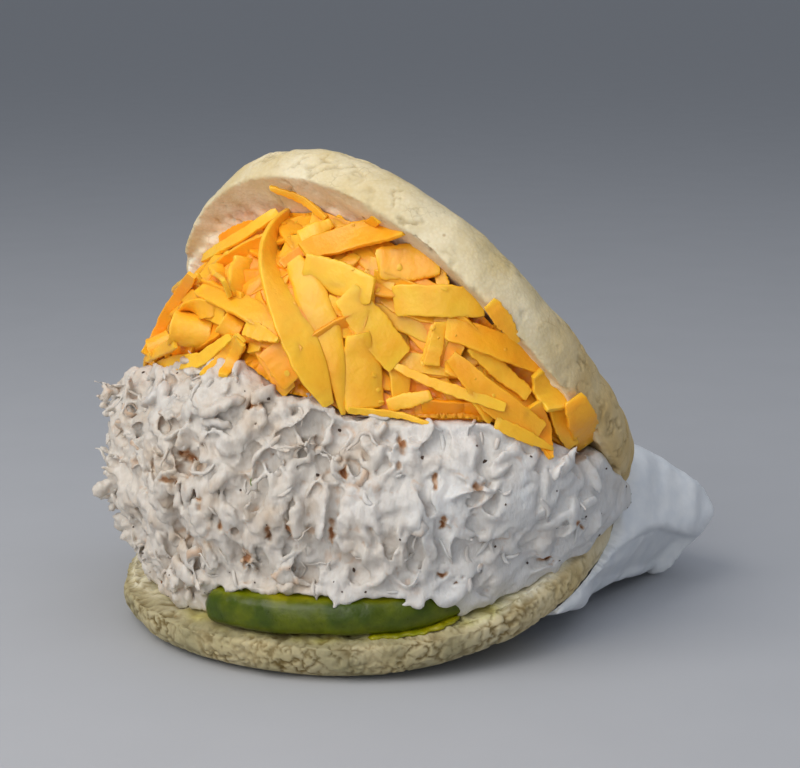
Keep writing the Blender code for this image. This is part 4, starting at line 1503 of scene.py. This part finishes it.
def paper_wrap():
    """A thin sheet over the outside of the wrap's solid, softened at its corners, gripped and creased."""
    own = tree_of("paper_wrap")
    cake = tree_of("corn_cake")
    obj = wrap_hull()
    raw = points_of(obj)
    open_side = [i for i, p in enumerate(raw) if own.find_nearest(Vector(p))[3] > 0.9 * MM]
    points = spread_evenly(raw, edges_of(obj), 8, 0.5)
    move_points(obj, points)
    normals = normals_of(obj)
    drawn_in, pleat = gripped(points)
    near_side = np.clip(normals @ np.array(TOWARDS), 0, 1) ** 0.5
    creased = np.array([crease_height(Vector(p)) for p in points])
    points += normals * ((creased + (pleat - 0.6 * drawn_in) * near_side) * MM)[:, None]
    points -= np.array(TOWARDS) * (0.4 * drawn_in * near_side * MM)[:, None]
    points[:, 2] = np.maximum(points[:, 2], 0.15 * MM)
    move_points(obj, points)
    work = bmesh.new()
    work.from_mesh(obj.data)
    work.verts.ensure_lookup_table()
    bmesh.ops.delete(work, geom=[work.verts[i] for i in open_side], context="VERTS")
    bring_lip_to(work, cake)
    work.to_mesh(obj.data)
    work.free()
    with_modifier(obj, "SUBSURF", levels=1, render_levels=1)
    with_modifier(obj, "SOLIDIFY", thickness=0.16 * MM, offset=0.0)
    points = points_of(obj)
    points[:, 2] = np.maximum(points[:, 2], 0)
    move_points(obj, points)
    shade_round(obj, 60)
    return place(obj, greaseproof_paper(), "paper", "paper_wrap")


# ---- Table, light and camera ----------------------------------------------------------------------


def studio():
    reach = 30
    corners = [(-reach, -reach, 0), (reach, -reach, 0), (reach, reach, 0), (-reach, reach, 0)]
    floor = mesh_object("studio_floor", corners, [(0, 1, 2, 3)])
    floor.data.materials.append(matt_board())

    world = bpy.data.worlds.new("studio_air")
    world.use_nodes = True
    background = world.node_tree.nodes["Background"]
    background.inputs["Color"].default_value = linear("#DFE6F0")
    background.inputs["Strength"].default_value = 0.34
    bpy.context.scene.world = world

    above_left = -OVER * 0.4 + TOWARDS * 0.34 + Vector((0, 0, 0.54))
    overhead = OVER * 0.22 + TOWARDS * 0.18 + Vector((0, 0, 0.85))
    in_front = -OVER * 0.3 + TOWARDS * 0.7 + Vector((0, 0, 0.28))
    for name, offset, size, watts, colour in (
        ("window_key", above_left, 0.65, 3.4, "#FFFAF2"),
        ("ceiling_soft", overhead, 1.2, 2.3, "#F2F6FF"),
        ("room_fill", in_front, 0.8, 2.5, "#FFFDF8"),
    ):
        light = bpy.data.lights.new(name, "AREA")
        light.shape = "DISK"
        light.size = size
        light.energy = watts
        light.color = linear(colour)[:3]
        lamp = link(bpy.data.objects.new(name, light))
        aim = LEAF_MIDDLE + Vector((0, 0, 0.045))
        lamp.location = aim + offset
        lamp.rotation_euler = (-offset).to_track_quat("-Z", "Y").to_euler()


def camera():
    """A long lens from the near left of the mouth, a little above the table."""
    azimuth, elevation, distance = math.radians(-35), math.radians(12), 0.45
    back = Vector(
        (
            math.sin(azimuth) * math.cos(elevation),
            -math.cos(azimuth) * math.cos(elevation),
            math.sin(elevation),
        )
    )
    right = Vector((math.cos(azimuth), math.sin(azimuth), 0))
    up = back.cross(right)
    data = bpy.data.cameras.new("long_lens")
    data.lens = 88.2
    data.sensor_width = 36
    eye = link(bpy.data.objects.new("long_lens", data))
    turn = Matrix((right, up, back)).transposed().to_4x4()
    aim = LEAF_MIDDLE + Vector((0, 0, 0.045)) + right * 8.6 * MM + up * 6.3 * MM
    turn.translation = aim + back * distance
    eye.matrix_world = turn
    bpy.context.scene.camera = eye


camera()
studio()
corn_cake()
chicken = chicken_salad()
salad_surface = surface_of(chicken)
loose_shreds(salad_surface)
strips = cheese_strips()
core = cheese_core()
cheese_crumbs(surface_of(strips, core))
pepper(salad_surface)
browned_bits(salad_surface)
herbs(salad_surface)
peeled = peeled_avocado("avocado_peeled", "#5C6602", "#B0A410")
avocado_slice("avocado_front", "avocado_front_slice", peeled)
avocado_slice("avocado_back", "avocado_back_slice", peeled)
avocado_mash(peeled)
paper_wrap()
bpy.context.scene.view_settings.view_transform = "Standard"
